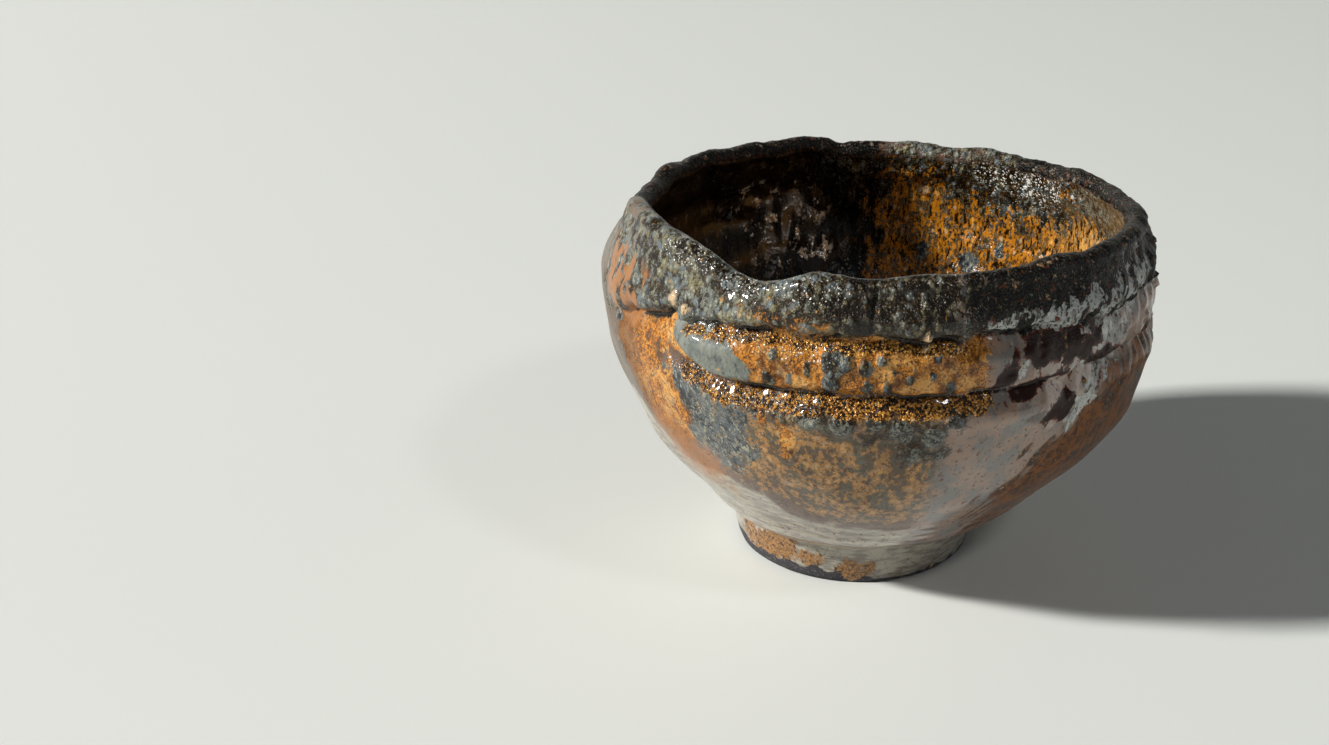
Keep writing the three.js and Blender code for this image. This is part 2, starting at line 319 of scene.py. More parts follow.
@dataclass(frozen=True)
class HandForm:
    """Where the hand leaves each point of the turned section."""

    section: Section = Section()
    foot_offset: tuple[float, float] = (-3.5, 0.5)
    foot_offset_level: float = 2.0
    foot_offset_fade: float = 30.0
    plan: Plan = Plan(
        58.8, 9.6, 38.0, (Wave(1, 0.9, -53), Wave(2, 1.05, 8), Wave(3, 0.7, 35), Wave(4, 0.45, -10)),
    )
    lip_plan: Plan = Plan(
        53.8, 60.0, 20.0, (Wave(1, 2.4, -72), Wave(2, 2.1, 76), Wave(3, 0.6, -10.6)),
    )
    pinch: Swell = Swell(1.0, 173.0, 20.0, 66.0, 12.0)
    rim_start: float = 30.0
    rim_over: float = 50.0
    tilt: Wave = Wave(1, 3.75, 272.0)
    dip: tuple[float, float, float] = (3.5, 245.8, 13.5)
    rim_swells: tuple[tuple[float, float, float], ...] = ((1.6, 211.0, 28.0), (0.6, 320.0, 45.0))
    back_step: tuple[float, float, float, float, float] = (1.35, 102.0, 172.0, 4.0, 8.0)
    wobble: tuple[tuple[int, float, float], ...] = ((13, 0.25, 0.6), (22, 0.2, 2.1))
    upper: Groove = Groove(71.4, 2.0, 0.9, 3.1, 190.0, 24.0, 60.0, 45.0)
    lower: Groove = Groove(59.6, 1.8, 0.9, 2.6, 225.0, 9.0, 60.0, 45.0)
    rim_band: tuple[float, float, float] = (0.8, 4.2, 2.6)
    lower_ledge: tuple[float, float, float] = (0.8, 5.4, 2.4)
    swells: tuple[Swell, ...] = (
        Swell(1.2, 237.0, 16.0, 65.0, 3.4),
        Swell(1.6, 350.0, 45.0, 38.0, 9.0),
        Swell(-1.4, 355.0, 50.0, 66.0, 16.0),
        Swell(0.9, 205.0, 50.0, 28.0, 6.0),
        Swell(-1.4, 205.0, 55.0, 17.0, 5.0),
    )
    lumps: tuple[tuple[int, float, float], ...] = ((5, 0.13, 0.22), (11, -0.21, 0.2), (17, 0.34, 0.16))
    lump_start: float = 14.0
    lump_rise: float = 22.0

    def rim_lift(self, azimuth: Array) -> Array:
        """Returns how much the rim lifts at an azimuth."""
        amount, start, end, rise, fall = self.back_step
        lift = self.tilt.amount * np.cos(np.radians(azimuth - self.tilt.azimuth))
        lift = lift - self.dip[0] * arch(azimuth, self.dip[1], self.dip[2])
        lift = lift + amount * span(azimuth, start, end, rise, fall)
        for height, middle, half_width in self.rim_swells:
            lift = lift + height * arch(azimuth, middle, half_width)
        for turns, height, phase in self.wobble:
            lift = lift + height * np.sin(turns * np.radians(azimuth) + phase)
        return lift

    def lifted(self, azimuth: Array, nominal: Array) -> Array:
        """Returns the real height of a nominal one."""
        return nominal + smooth((nominal - self.rim_start) / self.rim_over) * self.rim_lift(azimuth)

    @staticmethod
    def right_share(azimuth: Array, start: float, over: float) -> Array:
        """Returns 0 at the front and 1 where a groove has come round to the right."""
        return smooth((past_back(azimuth) - start) / over)

    def upper_height(self, azimuth: Array) -> Array:
        """Returns the height of the upper groove's line."""
        leftward = np.clip((255.0 - past_back(azimuth)) / 60.0, 0.0, 1.0)
        return self.upper.height - 13.0 * leftward**1.6 - 2.2 * self.right_share(azimuth, 295.0, 30.0)

    def lower_height(self, azimuth: Array) -> Array:
        """Returns the height of the lower groove's line."""
        leftward = smooth((262.0 - past_back(azimuth)) / 16.0)
        hook = smooth((240.0 - past_back(azimuth)) / 14.0)
        right = self.right_share(azimuth, 330.0, 22.0)
        return self.lower.height - 1.2 * leftward + 2.2 * hook - 1.8 * right

    def relief(self, azimuth: Array, height: Array, from_upper: Array, from_lower: Array) -> Array:
        """Works out everything that is cut into the outside or stands proud of it.

        Args:
            azimuth: Azimuths of the points.
            height: Their real heights.
            from_upper: Their heights above the upper groove's line.
            from_lower: Their heights above the lower groove's line.

        Returns:
            The relief, measured outward.
        """
        upper = self.upper.presence(azimuth)
        lower = self.lower.presence(azimuth)
        upper_right = self.right_share(azimuth, 295.0, 30.0)
        lower_right = self.right_share(azimuth, 330.0, 22.0)
        shallower = self.upper.depth - 0.8 * upper_right
        rounder = self.lower.above + 1.4 * lower_right
        relief = -upper * self.upper.cut(from_upper, shallower, self.upper.above)
        relief = relief - lower * self.lower.cut(from_lower, self.lower.depth, rounder)
        band, band_above, band_spread = self.rim_band
        relief = relief + upper * (band + 0.5 * upper_right) * bell(from_upper - band_above, band_spread)
        ledge, ledge_below, ledge_spread = self.lower_ledge
        relief = relief + lower * ledge * bell(from_lower + ledge_below, ledge_spread)
        for swell in self.swells:
            relief = relief + swell.at(azimuth, height)
        return relief

    def lump(self, azimuth: Array, height: Array) -> Array:
        """Returns the slow lumps left by the hands."""
        total = sum(a * np.sin(t * np.radians(azimuth) + p * height) for t, p, a in self.lumps)
        return smooth((height - self.lump_start) / self.lump_rise) * total

    def reach(self, radius: Array, nominal: Array, azimuth: Array) -> Array:
        """Returns the radius after the plan, the lip's plan and the pinch."""
        plan = 1.0 + self.plan.share(azimuth, nominal) + self.lip_plan.share(azimuth, nominal)
        pinch = self.pinch
        pinched = smooth((nominal - pinch.height) / pinch.spread)
        return radius * plan - pinch.amount * arch(azimuth, pinch.azimuth, pinch.half_width) * pinched

    def foot_share(self, nominal: Array) -> Array:
        """Returns how much of the foot's offset a height takes."""
        return 1.0 - smooth((nominal - self.foot_offset_level) / self.foot_offset_fade)


def field_noise(points: Array, cell: float, tall: float = 1.0, seed: float = 0.0) -> Array:
    """Samples smooth noise at points.

    Args:
        points: Positions in millimetres, one row each.
        cell: Size of the noise's cells, in millimetres.
        tall: How many times taller than wide the cells are.
        seed: Shifts the noise, so that two fields differ.

    Returns:
        The noise at each point, from about -1 to 1.
    """
    scaled = points / np.array([cell, cell, cell * tall]) + seed
    return np.array([noise.noise(Vector(p)) for p in scaled.tolist()]) * NOISE_GAIN


def granules(points: Array, cell: float, tall: float, seed: float) -> Array:
    """Samples round granules at points.

    Args:
        points: Positions in millimetres, one row each.
        cell: Width of a granule, in millimetres.
        tall: How many times taller than wide it is.
        seed: Shifts the pattern.

    Returns:
        1 on the top of a granule and 0 between granules.
    """
    scaled = points / np.array([cell, cell, cell * tall]) + seed
    nearest = np.array([noise.voronoi(Vector(p))[0][0] for p in scaled.tolist()])
    return smooth(1.15 - nearest * 1.5)


@dataclass(frozen=True)
class Blob:
    """A run or lump of ash glaze that stands out."""

    azimuth: float
    height: float
    width: float
    tall: float
    raised: float

    def share(self, azimuth: Array, height: Array, radius: float, warp: Array) -> Array:
        """Returns 1 inside the blob and 0 outside it, with an uneven edge."""
        across = np.radians(apart(azimuth, self.azimuth)) * radius / (self.width / 2)
        along = (height - self.height) / (self.tall / 2)
        return smooth((1.25 - np.sqrt(across**2 + along**2) - 0.42 * warp) / 0.5)


@dataclass(frozen=True)
class Patch:
    """A patch of one finish: its middle, half its size, how it leans and how soft it is."""

    azimuth: float
    height: float
    half_azimuth: float
    half_height: float
    lean: float = 0.0
    soft: float = 0.55
    rough: float = 0.4
    amount: float = 1.0


@dataclass(frozen=True)
class Window:
    """A stretch of azimuths counted past the back, with soft ends outside it."""

    start: float
    end: float
    rise: float
    fall: float


@dataclass
class GlazeMap:
    """Where the points of the mesh lie, with the noises that make every edge uneven."""

    form: HandForm
    azimuth: Array
    height: Array
    side: Array
    points: Array

    def __post_init__(self) -> None:
        """Samples the noises."""
        self.past = past_back(self.azimuth)
        self.slow = field_noise(self.points, 9.0, 1.0, 3.1)
        self.mid = field_noise(self.points, 3.4, 1.6, 7.7)
        self.fine = field_noise(self.points, 1.5, 2.2, 11.3)
        self.streak = field_noise(self.points, 1.9, 4.0, 17.9)
        self.slant = self.slanted(1.7, 8.0, 55.0)
        wave = 1.1 * self.slow_round(5.0, 2.3) + 0.7 * self.slow_round(2.2, 9.4)
        upper = self.form.upper_height(self.azimuth) + wave * 0.7 + 0.45 * self.mid
        lower = self.form.lower_height(self.azimuth) + wave * 0.4 + 0.35 * self.mid
        self.from_upper = self.height - upper
        self.from_lower = self.height - lower

    def slow_round(self, cell: float, seed: float) -> Array:
        """Returns noise that changes with the azimuth alone."""
        turn = np.radians(self.azimuth)
        ring = np.stack([np.cos(turn), np.sin(turn), np.zeros_like(turn)], axis=1) * REACH
        return field_noise(ring, cell, 1.0, seed)

    def slanted(self, width: float, length: float, slope: float) -> Array:
        """Returns streaks on the right side that climb at an angle.

        Args:
            width: Width of a streak.
            length: Its length.
            slope: Its slope in degrees.

        Returns:
            The noise at each point, from about -1 to 1.
        """
        round_way = np.radians(self.past) * REACH
        cos, sin = math.cos(math.radians(slope)), math.sin(math.radians(slope))
        along = (round_way * cos + self.height * sin) / length
        across = (self.height * cos - round_way * sin) / width
        return field_noise(np.stack([across, along, np.zeros_like(along)], axis=1), 1.0, 1.0, 41.7)

    def patch(self, patch: Patch) -> Array:
        """Returns one patch's share at each point, with an uneven edge."""
        rise = self.height - patch.height
        across = (apart(self.azimuth, patch.azimuth) - patch.lean * rise) / patch.half_azimuth
        reach = np.sqrt(across**2 + (rise / patch.half_height) ** 2)
        reach = reach + patch.rough * self.uneven(slow=0.5, mid=0.7, fine=0.5)
        return patch.amount * smooth((1.0 + patch.soft / 2 - reach) / patch.soft)

    def patches(self, spots: Sequence[Patch]) -> Array:
        """Returns the highest share of several patches."""
        return np.max([self.patch(spot) for spot in spots], axis=0)

    def blobs(self, spots: Sequence[Blob], radius: float) -> Array:
        """Returns the highest share of several blobs."""
        warp = self.uneven(mid=0.6, fine=0.5)
        return np.max([spot.share(self.azimuth, self.height, radius, warp) for spot in spots], axis=0)

    def window(self, window: Window) -> Array:
        """Returns 1 in a window of azimuths, with soft ends outside it."""
        started = smooth((self.past - window.start) / window.rise + 1.0)
        return started * smooth((window.end - self.past) / window.fall + 1.0)

    def uneven(self, **weights: float) -> Array:
        """Returns a sum of the map's noises, each by its weight."""
        return sum(getattr(self, name) * weight for name, weight in weights.items())


BLOBS = (
    Blob(263.0, 67.2, 6.2, 6.6, 0.75),
    Blob(251.0, 66.8, 1.8, 2.6, 0.35),
    Blob(249.8, 61.4, 2.4, 4.2, 0.35),
    Blob(262.0, 62.0, 3.0, 4.4, 0.4),
    Blob(268.0, 66.2, 2.8, 3.4, 0.45),
    Blob(268.8, 61.8, 2.2, 4.0, 0.4),
    Blob(271.3, 68.0, 1.8, 2.4, 0.4),
    Blob(272.3, 62.0, 1.9, 3.6, 0.35),
    Blob(276.4, 64.2, 2.0, 2.6, 0.35),
    Blob(281.2, 68.4, 1.8, 2.6, 0.4),
    Blob(280.4, 64.6, 1.6, 2.0, 0.3),
    Blob(284.0, 62.2, 1.8, 4.0, 0.35),
    Blob(273.4, 65.6, 1.4, 1.8, 0.3),
    Blob(257.5, 64.6, 1.3, 3.4, 0.25),
    Blob(254.4, 62.0, 1.3, 3.0, 0.25),
    Blob(214.4, 72.0, 2.2, 6.6, 0.4),
    Blob(219.6, 70.6, 1.8, 6.0, 0.35),
    Blob(203.6, 59.4, 2.4, 2.6, 0.3),
    Blob(258.2, 54.4, 5.2, 4.8, 0.7),
    Blob(264.2, 53.8, 4.8, 4.4, 0.7),
    Blob(270.6, 54.8, 3.6, 3.0, 0.35),
    Blob(275.4, 52.2, 4.8, 4.8, 0.7),
    Blob(281.4, 51.2, 4.8, 5.0, 0.7),
    Blob(278.2, 46.8, 3.6, 4.2, 0.5),
    Blob(285.4, 54.4, 3.4, 2.6, 0.35),
    Blob(283.4, 46.2, 1.8, 2.0, 0.3),
)
NUBS = (
    Blob(279.0, 71.8, 1.5, 4.6, 1.1),
    Blob(228.2, 72.2, 1.5, 2.6, 0.5),
    Blob(231.4, 71.0, 1.2, 1.8, 0.4),
)
RUST_NUB = Blob(285.2, 70.9, 3.0, 2.6, 0.7)
BURRS = (
    Blob(352.0, 75.6, 5.0, 2.2, 0.9),
    Blob(346.0, 69.4, 4.0, 2.6, 1.0),
    Blob(353.0, 66.0, 5.0, 2.0, 0.8),
    Blob(349.0, 58.6, 6.0, 2.4, 0.9),
    Blob(340.0, 63.5, 4.0, 2.4, 0.7),
)
STONES = (
    Blob(271.0, 0.9, 1.0, 0.9, 0.1),
    Blob(296.0, 0.9, 1.2, 0.9, 0.1),
    Blob(313.0, 1.8, 0.9, 0.8, 0.1),
)
DRIPS = (
    Blob(259.6, 74.4, 3.0, 9.0, 0.0),
    Blob(248.6, 53.2, 1.6, 6.0, 0.0),
    Blob(253.4, 49.8, 3.4, 14.5, 0.0),
    Blob(224.6, 71.8, 1.4, 8.0, 0.0),
    Blob(218.4, 74.8, 2.4, 6.0, 0.0),
    Blob(208.6, 69.0, 2.6, 9.0, 0.0),
)
INNER_STONES = (
    Blob(65.0, 48.6, 4.6, 5.6, 0.3),
    Blob(57.0, 52.0, 2.6, 3.6, 0.3),
    Blob(78.6, 49.6, 3.6, 5.0, 0.35),
)
INNER_NUB = Blob(78.6, 64.2, 2.3, 2.0, 0.4)
# Painted white glints on the inside under the rim.
INNER_PAINTED_GLINTS = (
    Patch(50.0, 72.0, 18.0, 6.0, 0.0, 0.9, 0.3),
    Patch(66.0, 76.0, 13.0, 3.0, 0.0, 0.9, 0.3),
)
INNER_BROWN = Patch(88.0, 74.4, 6.0, 2.0)
GLINTS = (
    Patch(117.0, 56.0, 10.0, 9.0, 0.0, 0.6, 0.5),
    Patch(110.0, 50.0, 6.0, 5.0, 0.0, 0.6, 0.5),
    Patch(127.0, 64.0, 6.0, 4.0, 0.0, 0.6, 0.5),
)
TONGUE = Patch(237.0, 64.2, 8.6, 5.4, -0.85, 0.25, 0.12)
BLACK_CHEEK = Patch(314.0, 73.0, 17.0, 6.0, 0.5, 0.5, 0.4)
# Painted reflection of the lit floor: a paler patch high on the mauve glaze of the right side.
PAINTED_FLOOR_REFLECTION = Patch(313.0, 60.0, 13.0, 9.0, 0.6, 1.0, 0.4)
SLATE = (
    Patch(233.5, 46.6, 12.5, 12.5, 0.06, 0.45, 0.34),
    Patch(230.0, 54.0, 8.5, 5.5, -0.4, 0.45, 0.3),
)
OLIVE = (
    Patch(260.5, 54.0, 8.5, 2.8),
    Patch(276.0, 52.2, 9.0, 3.6),
    Patch(278.5, 48.0, 5.5, 4.0),
)
LEFT_RUST = (Patch(216.0, 50.5, 12.0, 15.0, -0.35, 0.5, 0.34), Patch(216.0, 66.0, 15.0, 5.5))
SALMON = (
    Patch(208.0, 69.5, 11.0, 8.0, 0.1, 0.8, 0.4),
    Patch(224.0, 35.0, 12.0, 8.0, -0.5, 0.9, 0.3, 0.8),
)
WINE = (
    Patch(304.0, 67.4, 7.5, 3.4, 0.3),
    Patch(313.0, 65.0, 7.0, 2.6, -0.9),
    Patch(321.0, 61.0, 5.0, 1.8, -0.6),
    Patch(302.5, 59.4, 5.5, 2.6, 0.9),
    Patch(309.0, 52.6, 3.8, 3.4, 0.5),
    Patch(295.0, 62.4, 2.0, 3.4, 0.5),
)
# Painted reflection: pale sheen patches on the black glaze of the right side.
PAINTED_SHEEN = (
    Patch(310.5, 71.6, 9.0, 4.8, 0.7, 0.6, 0.5),
    Patch(321.0, 68.0, 9.0, 7.0, 0.7, 0.6, 0.5),
    Patch(331.0, 73.0, 9.0, 6.0, 0.7, 0.6, 0.5, 0.9),
    Patch(298.0, 73.4, 9.0, 2.2, 0.3, 0.8, 0.4, 0.65),
    Patch(298.0, 65.0, 3.6, 5.0, 0.9, 0.8, 0.5, 0.6),
    Patch(321.0, 57.5, 5.0, 8.0, 0.7, 0.7, 0.5),
)
# Painted white glints on the rim's crest and the groove ledges.
PAINTED_GLINTS = (
    Patch(230.0, 80.8, 9.0, 2.4, 0.0, 0.9, 0.3),
    Patch(243.5, 78.6, 5.0, 1.8, 0.0, 0.9, 0.3),
    Patch(258.0, 80.8, 8.0, 2.4, 0.0, 0.9, 0.3),
    Patch(240.5, 68.6, 8.0, 2.2, 0.0, 0.9, 0.3),
    Patch(233.0, 57.8, 7.0, 2.0, 0.0, 0.9, 0.3),
    Patch(246.0, 55.6, 9.0, 1.7, 0.0, 0.9, 0.3),
    Patch(254.0, 67.4, 8.0, 2.4, 0.0, 0.9, 0.3, 0.7),
    Patch(257.5, 56.0, 3.0, 1.3, 0.0, 0.9, 0.3),
    Patch(279.0, 79.4, 6.0, 1.8, 0.0, 0.9, 0.3, 0.5),
)
TAN = (
    Patch(227.0, 6.4, 20.0, 4.6, 0.0, 0.7, 0.4),
    Patch(249.0, 5.6, 10.0, 2.2, 0.0, 0.7, 0.4, 0.8),
    Patch(271.0, 3.4, 9.0, 3.4, 0.0, 0.7, 0.4),
)
# Azimuths and heights of the top of the pale low flow, which is partly painted reflection of the floor.
FLOW_LINE = ((200.0, 40.0), (228.0, 31.0), (246.0, 28.0), (262.0, 21.5), (285.0, 21.5), (330.0, 30.0))
UMBER_LINE = ((20.0, 300.0), (32.0, 301.0), (45.0, 309.0), (55.0, 320.0), (66.0, 332.0))


BACK_LIP = Window(96.0, 186.0, 10.0, 10.0)
WASHED = Window(196.0, 218.0, 6.0, 5.0)
# Where the pale low flow lies, partly painted reflection of the floor.
FLOW_AND_REFLECTION_SPAN = Window(200.0, 320.0, 30.0, 20.0)
UPPER_CRACK = Window(206.0, 400.0, 8.0, 30.0)
GROOVE_RUST = Window(222.0, 288.5, 8.0, 6.0)
LOWER_GRIT = Window(230.0, 291.0, 8.0, 5.0)
UPPER_GRIT = Window(234.0, 286.0, 8.0, 10.0)
MOTTLED = Window(240.0, 282.0, 8.0, 8.0)
HANGING = Window(246.0, 263.0, 6.0, 4.0)
HANGING_GAPS = Window(246.0, 261.0, 5.0, 3.0)
HANGING_RUST = Window(246.0, 262.0, 5.0, 4.0)
# Painted shade: where the ash darkens towards the right, away from the key light.
ASH_PAINTED_SHADE = Window(270.0, 320.0, 14.0, 20.0)
BARE_FOOT = Window(280.0, 330.0, 10.0, 30.0)
# Right side where the mauve glaze carries a painted reflection of the lit floor.
REFLECTING_RIGHT = Window(289.0, 380.0, 12.0, 50.0)
TO_BLACK = Window(293.0, 405.0, 14.0, 35.0)
RIGHT_CRACKS = Window(300.0, 360.0, 14.0, 30.0)
JAGGED = Window(318.0, 385.0, 10.0, 15.0)
FAR_BLACK = Window(333.0, 400.0, 14.0, 30.0)
SEAMS = ((269.2, 1.0), (279.6, 0.6))


class Glazer:
    """Works out where each finish lies, as shares from 0 to 1."""

    def __init__(self, chart: GlazeMap) -> None:
        """Keeps the map and the shares of the sides.

        Args:
            chart: Where the points of the mesh lie.
        """
        self.chart = chart
        self.lip = (chart.side == Side.LIP).astype(float)
        self.outside = (chart.side == Side.OUTSIDE) + self.lip
        self.inside = ((chart.side == Side.INSIDE) | (chart.side == Side.WELL)).astype(float)
        self.foot = (chart.side == Side.FOOT).astype(float)
        self.upper = chart.form.upper.presence(chart.azimuth)
        self.lower = chart.form.lower.presence(chart.azimuth)
        hanging = chart.window(HANGING)
        drops = (1.3 + 1.5 * hanging) * chart.uneven(mid=0.6, streak=0.7) + 0.9 * hanging
        self.above_band = np.maximum(smooth((chart.from_upper + drops) / 1.1 + 0.5), self.lip)
        self.to_black = chart.window(TO_BLACK)

    def work_out(self) -> dict[str, Array]:
        """Gathers the finishes of every side.

        Returns:
            Every finish's share by name.
        """
        outer = {**self.rim(), **self.grooves(), **self.belly(), **self.right()}
        masks = {name: share * self.outside for name, share in outer.items()}
        masks.update({name: share * self.foot for name, share in self.foot_ring().items()})
        masks.update({name: share * self.inside for name, share in self.interior().items()})
        masks.update({"foot": self.foot, "inner": self.inside})
        return {name: np.clip(share, 0.0, 1.0) for name, share in masks.items()}

    def rim(self) -> dict[str, Array]:
        """Lays the ash band with its painted shade towards the right, the black gloss on the right and the
        painted white glints.

        Returns:
            The shares of the rim's finishes by name.
        """
        c = self.chart
        front_left = smooth((c.past - 203.0 + c.uneven(slow=8.0, streak=11.0)) / 10.0)
        band = self.above_band * smooth(self.upper * 3.0) * front_left * (1.0 - self.to_black)
        high = smooth((c.height - ASH_BEHIND_LOWEST - c.uneven(slow=2.5, streak=3.0)) / 4.0)
        behind = high * smooth((205.0 - c.past) / 14.0 + 1.0) * (1.0 - self.lip)
        far = high * smooth((c.past - 400.0) / 20.0)
        ash = np.maximum(band, 0.7 * np.maximum(behind, far))
        ash = ash * (1.0 - 0.42 * c.window(HANGING_GAPS) * smooth((77.5 - c.height) / 3.0))
        washed = c.window(WASHED) * smooth((77.0 - c.height + c.uneven(slow=2.0)) / 3.0) * self.above_band
        ash = ash * (1.0 - washed) + washed * smooth(1.3 * c.streak + 0.4)
        black = np.maximum.reduce([
            self.above_band * self.to_black,
            self.lip * c.window(BACK_LIP),
            c.patch(BLACK_CHEEK),
            0.9 * smooth((c.height - 73.0 + 4.0 * c.slant) / 4.0) * c.window(FAR_BLACK),
        ])
        return {"ash": ash, "black": 1.3 * black, "glint_white": c.patches(PAINTED_GLINTS), "ash_painted_shade": c.window(ASH_PAINTED_SHADE)}

    def grooves(self) -> dict[str, Array]:
        """Lays the rust, blobs, grit and nubs, and the cracks with their painted shade, between and along
        the two grooves.

        Returns:
            The shares of the grooves' finishes by name.
        """
        c = self.chart
        up, low = c.from_upper, c.from_lower
        under_band = 1.0 - self.above_band
        rust = np.maximum.reduce([
            smooth((low + 0.5) / 0.8) * under_band * c.window(GROOVE_RUST),
            c.patches(LEFT_RUST) * under_band,
            c.blobs(DRIPS, REACH),
            c.window(HANGING_RUST) * span(c.height, 66.0, 78.5, 1.0, 2.0),
        ])
        grit = self.lower * bell(low + 2.3, 2.4) * c.window(LOWER_GRIT)
        grit = smooth((grit + c.uneven(fine=0.22, mid=0.15) - 0.32) / 0.4)
        under = bell(up + 1.6, 1.8) * c.window(UPPER_GRIT)
        grit = np.maximum(grit, 0.9 * smooth((under + c.uneven(fine=0.28, mid=0.2) - 0.4) / 0.45))
        # Painted shade: dark lines in the creases under the groove edges, with the dark seams of the band.
        crack_shade = self.upper * bell(up + 0.15, 0.8) * c.window(UPPER_CRACK)
        crack_shade = crack_shade * (1.0 - 0.8 * span(c.azimuth, 246.0, 264.0, 5.0, 4.0)) * (1.0 + 0.35 * c.mid)
        crack_shade = np.maximum(crack_shade, self.lower * bell(low + 0.1, 0.8) * (0.9 + 0.4 * c.mid))
        crack_shade = crack_shade * (1.0 - 0.5 * c.window(RIGHT_CRACKS)) * smooth(0.85 + c.slow_round(6.0, 51.0))
        for azimuth, share in SEAMS:
            aside = np.radians(apart(c.azimuth, azimuth + 0.05 * (c.height - 76.0))) * REACH
            seam = bell(aside - 0.3 * c.mid, 0.6) * span(c.height, 72.5, 83.0, 1.0, 2.0)
            crack_shade = np.maximum(crack_shade, share * seam)
        return {
            "rust": rust, "blob": c.blobs(BLOBS, REACH), "tongue": c.patch(TONGUE), "gold": grit,
            "crack_shade": crack_shade, "nub": c.blobs(NUBS, REACH), "salmon": c.patches(SALMON),
        }

    def belly(self) -> dict[str, Array]:
        """Lays the slate, the olive lumps, the ochre mottle, the pale left part and the pale low flow,
        which is partly painted reflection of the floor.

        Returns:
            The shares of the belly's finishes by name.
        """
        c = self.chart
        below = smooth((-c.from_lower - 3.0) / 1.2)
        line = np.interp(c.past, *zip(*FLOW_LINE))
        # The pale low flow, partly painted reflection of the floor.
        flow = smooth((line - c.height + c.uneven(slow=2.2, mid=1.2)) / 3.0 + 0.5) * c.window(FLOW_AND_REFLECTION_SPAN)
        mottle = c.window(MOTTLED) * smooth((c.height - line - 1.0 + c.uneven(mid=2.0)) / 7.0) * below
        edge = 222.0 + 0.8 * np.clip(46.0 - c.height, 0.0, 20.0)
        pale = smooth((edge - c.past + c.uneven(slow=6.0)) / 14.0) * smooth((c.past - 120.0) / 40.0)
        return {
            "slate": c.patches(SLATE) * below, "olive": c.patches(OLIVE) * below,
            "mottle": mottle, "flow": flow, "pale": pale,
        }

    def right(self) -> dict[str, Array]:
        """Lays the mauve glaze with its painted reflection of the floor, a paler painted floor reflection,
        the painted sheen, the dark red patches and the umber low on the right.

        Returns:
            The shares of the right side's finishes by name.
        """
        c = self.chart
        line = np.interp(c.height, *zip(*UMBER_LINE))
        umber = smooth((c.past - line + c.uneven(slow=4.0, slant=5.0)) / 7.0 + 0.5)
        umber = umber * smooth((64.0 - c.height + c.uneven(slow=4.0)) / 9.0)
        umber = umber * smooth((440.0 - c.past + c.uneven(slow=12.0)) / 50.0)
        # Painted reflection: the sheen, in slanted streaks that thin out to the right.
        streaky = 0.95 - 0.7 * smooth((c.past - 314.0) / 14.0)
        painted_sheen = 1.1 * c.patches(PAINTED_SHEEN) * smooth((c.uneven(slant=1.0, mid=0.45, fine=0.3) + streaky) / 0.4)
        wine = c.patches(WINE) * smooth((c.uneven(slant=1.0, fine=0.5) + 1.1) / 0.4)
        clear = 1.0 - umber
        return {
            "mauve_and_reflection": c.window(REFLECTING_RIGHT) * clear, "painted_floor_reflection": c.patch(PAINTED_FLOOR_REFLECTION) * clear,
            "umber": umber, "painted_sheen": painted_sheen, "wine": wine,
        }

    def foot_ring(self) -> dict[str, Array]:
        """Lays the bare clay, the tan grit and the white stones of the foot.

        Returns:
            The shares of the foot's finishes by name.
        """
        c = self.chart
        glaze_line = 3.2 + 0.8 * c.slow_round(7.0, 31.0) - 3.6 * arch(c.azimuth, 271.0, 7.0)
        glaze_line = glaze_line - 2.0 * c.window(BARE_FOOT)
        bare = smooth((glaze_line - c.height + 0.25 * c.mid) / 0.7 + 0.5)
        middle = c.form.foot_offset
        recess = np.hypot(c.points[:, 0] - middle[0], c.points[:, 1] - middle[1]) < RECESS_REACH
        clay = np.maximum(bare, ((c.height < STANDING) | recess).astype(float))
        return {"clay": clay, "tan": c.patches(TAN), "stone": c.blobs(STONES, FOOT_REACH)}

    def interior(self) -> dict[str, Array]:
        """Lays the amber where the key light falls, the ash under the rim, the crinkled gloss, the painted
        glints and the stones of the inside.

        Returns:
            The shares of the inside's finishes by name.
        """
        c = self.chart
        # The amber is laid only where the key light falls; elsewhere the near-black ground stays, partly as
        # painted shade.
        lit = span(c.azimuth, 325.0, 463.0, 30.0, 24.0)
        lowest = 67.0 - 9.0 * arch(c.azimuth, 54.0, 24.0) - 7.0 * arch(c.azimuth, 6.0, 38.0)
        rim = smooth((c.height - lowest - c.uneven(slow=2.0, streak=4.0)) / 12.0 + 0.4)
        rim = rim * (1.0 - span(c.azimuth, 98.0, 192.0, 14.0, 10.0))
        brown = c.patch(INNER_BROWN)
        return {
            "amber": smooth((lit + c.uneven(slow=0.3, streak=0.25) - 0.3) / 0.4),
            "bright": arch(c.azimuth, 22.0, 32.0) * smooth((69.0 - c.height + 3.0 * c.streak) / 6.0),
            "washed": arch(c.azimuth, 8.0, 40.0),
            "glint": c.patches(GLINTS),
            "inner_rim": rim * (1.0 - brown),
            "inner_brown": brown,
            "inner_painted_glints": c.patches(INNER_PAINTED_GLINTS),
            "inner_stone": c.blobs(INNER_STONES, INSIDE_REACH),
            "inner_nub": c.blobs((INNER_NUB,), INSIDE_REACH),
        }


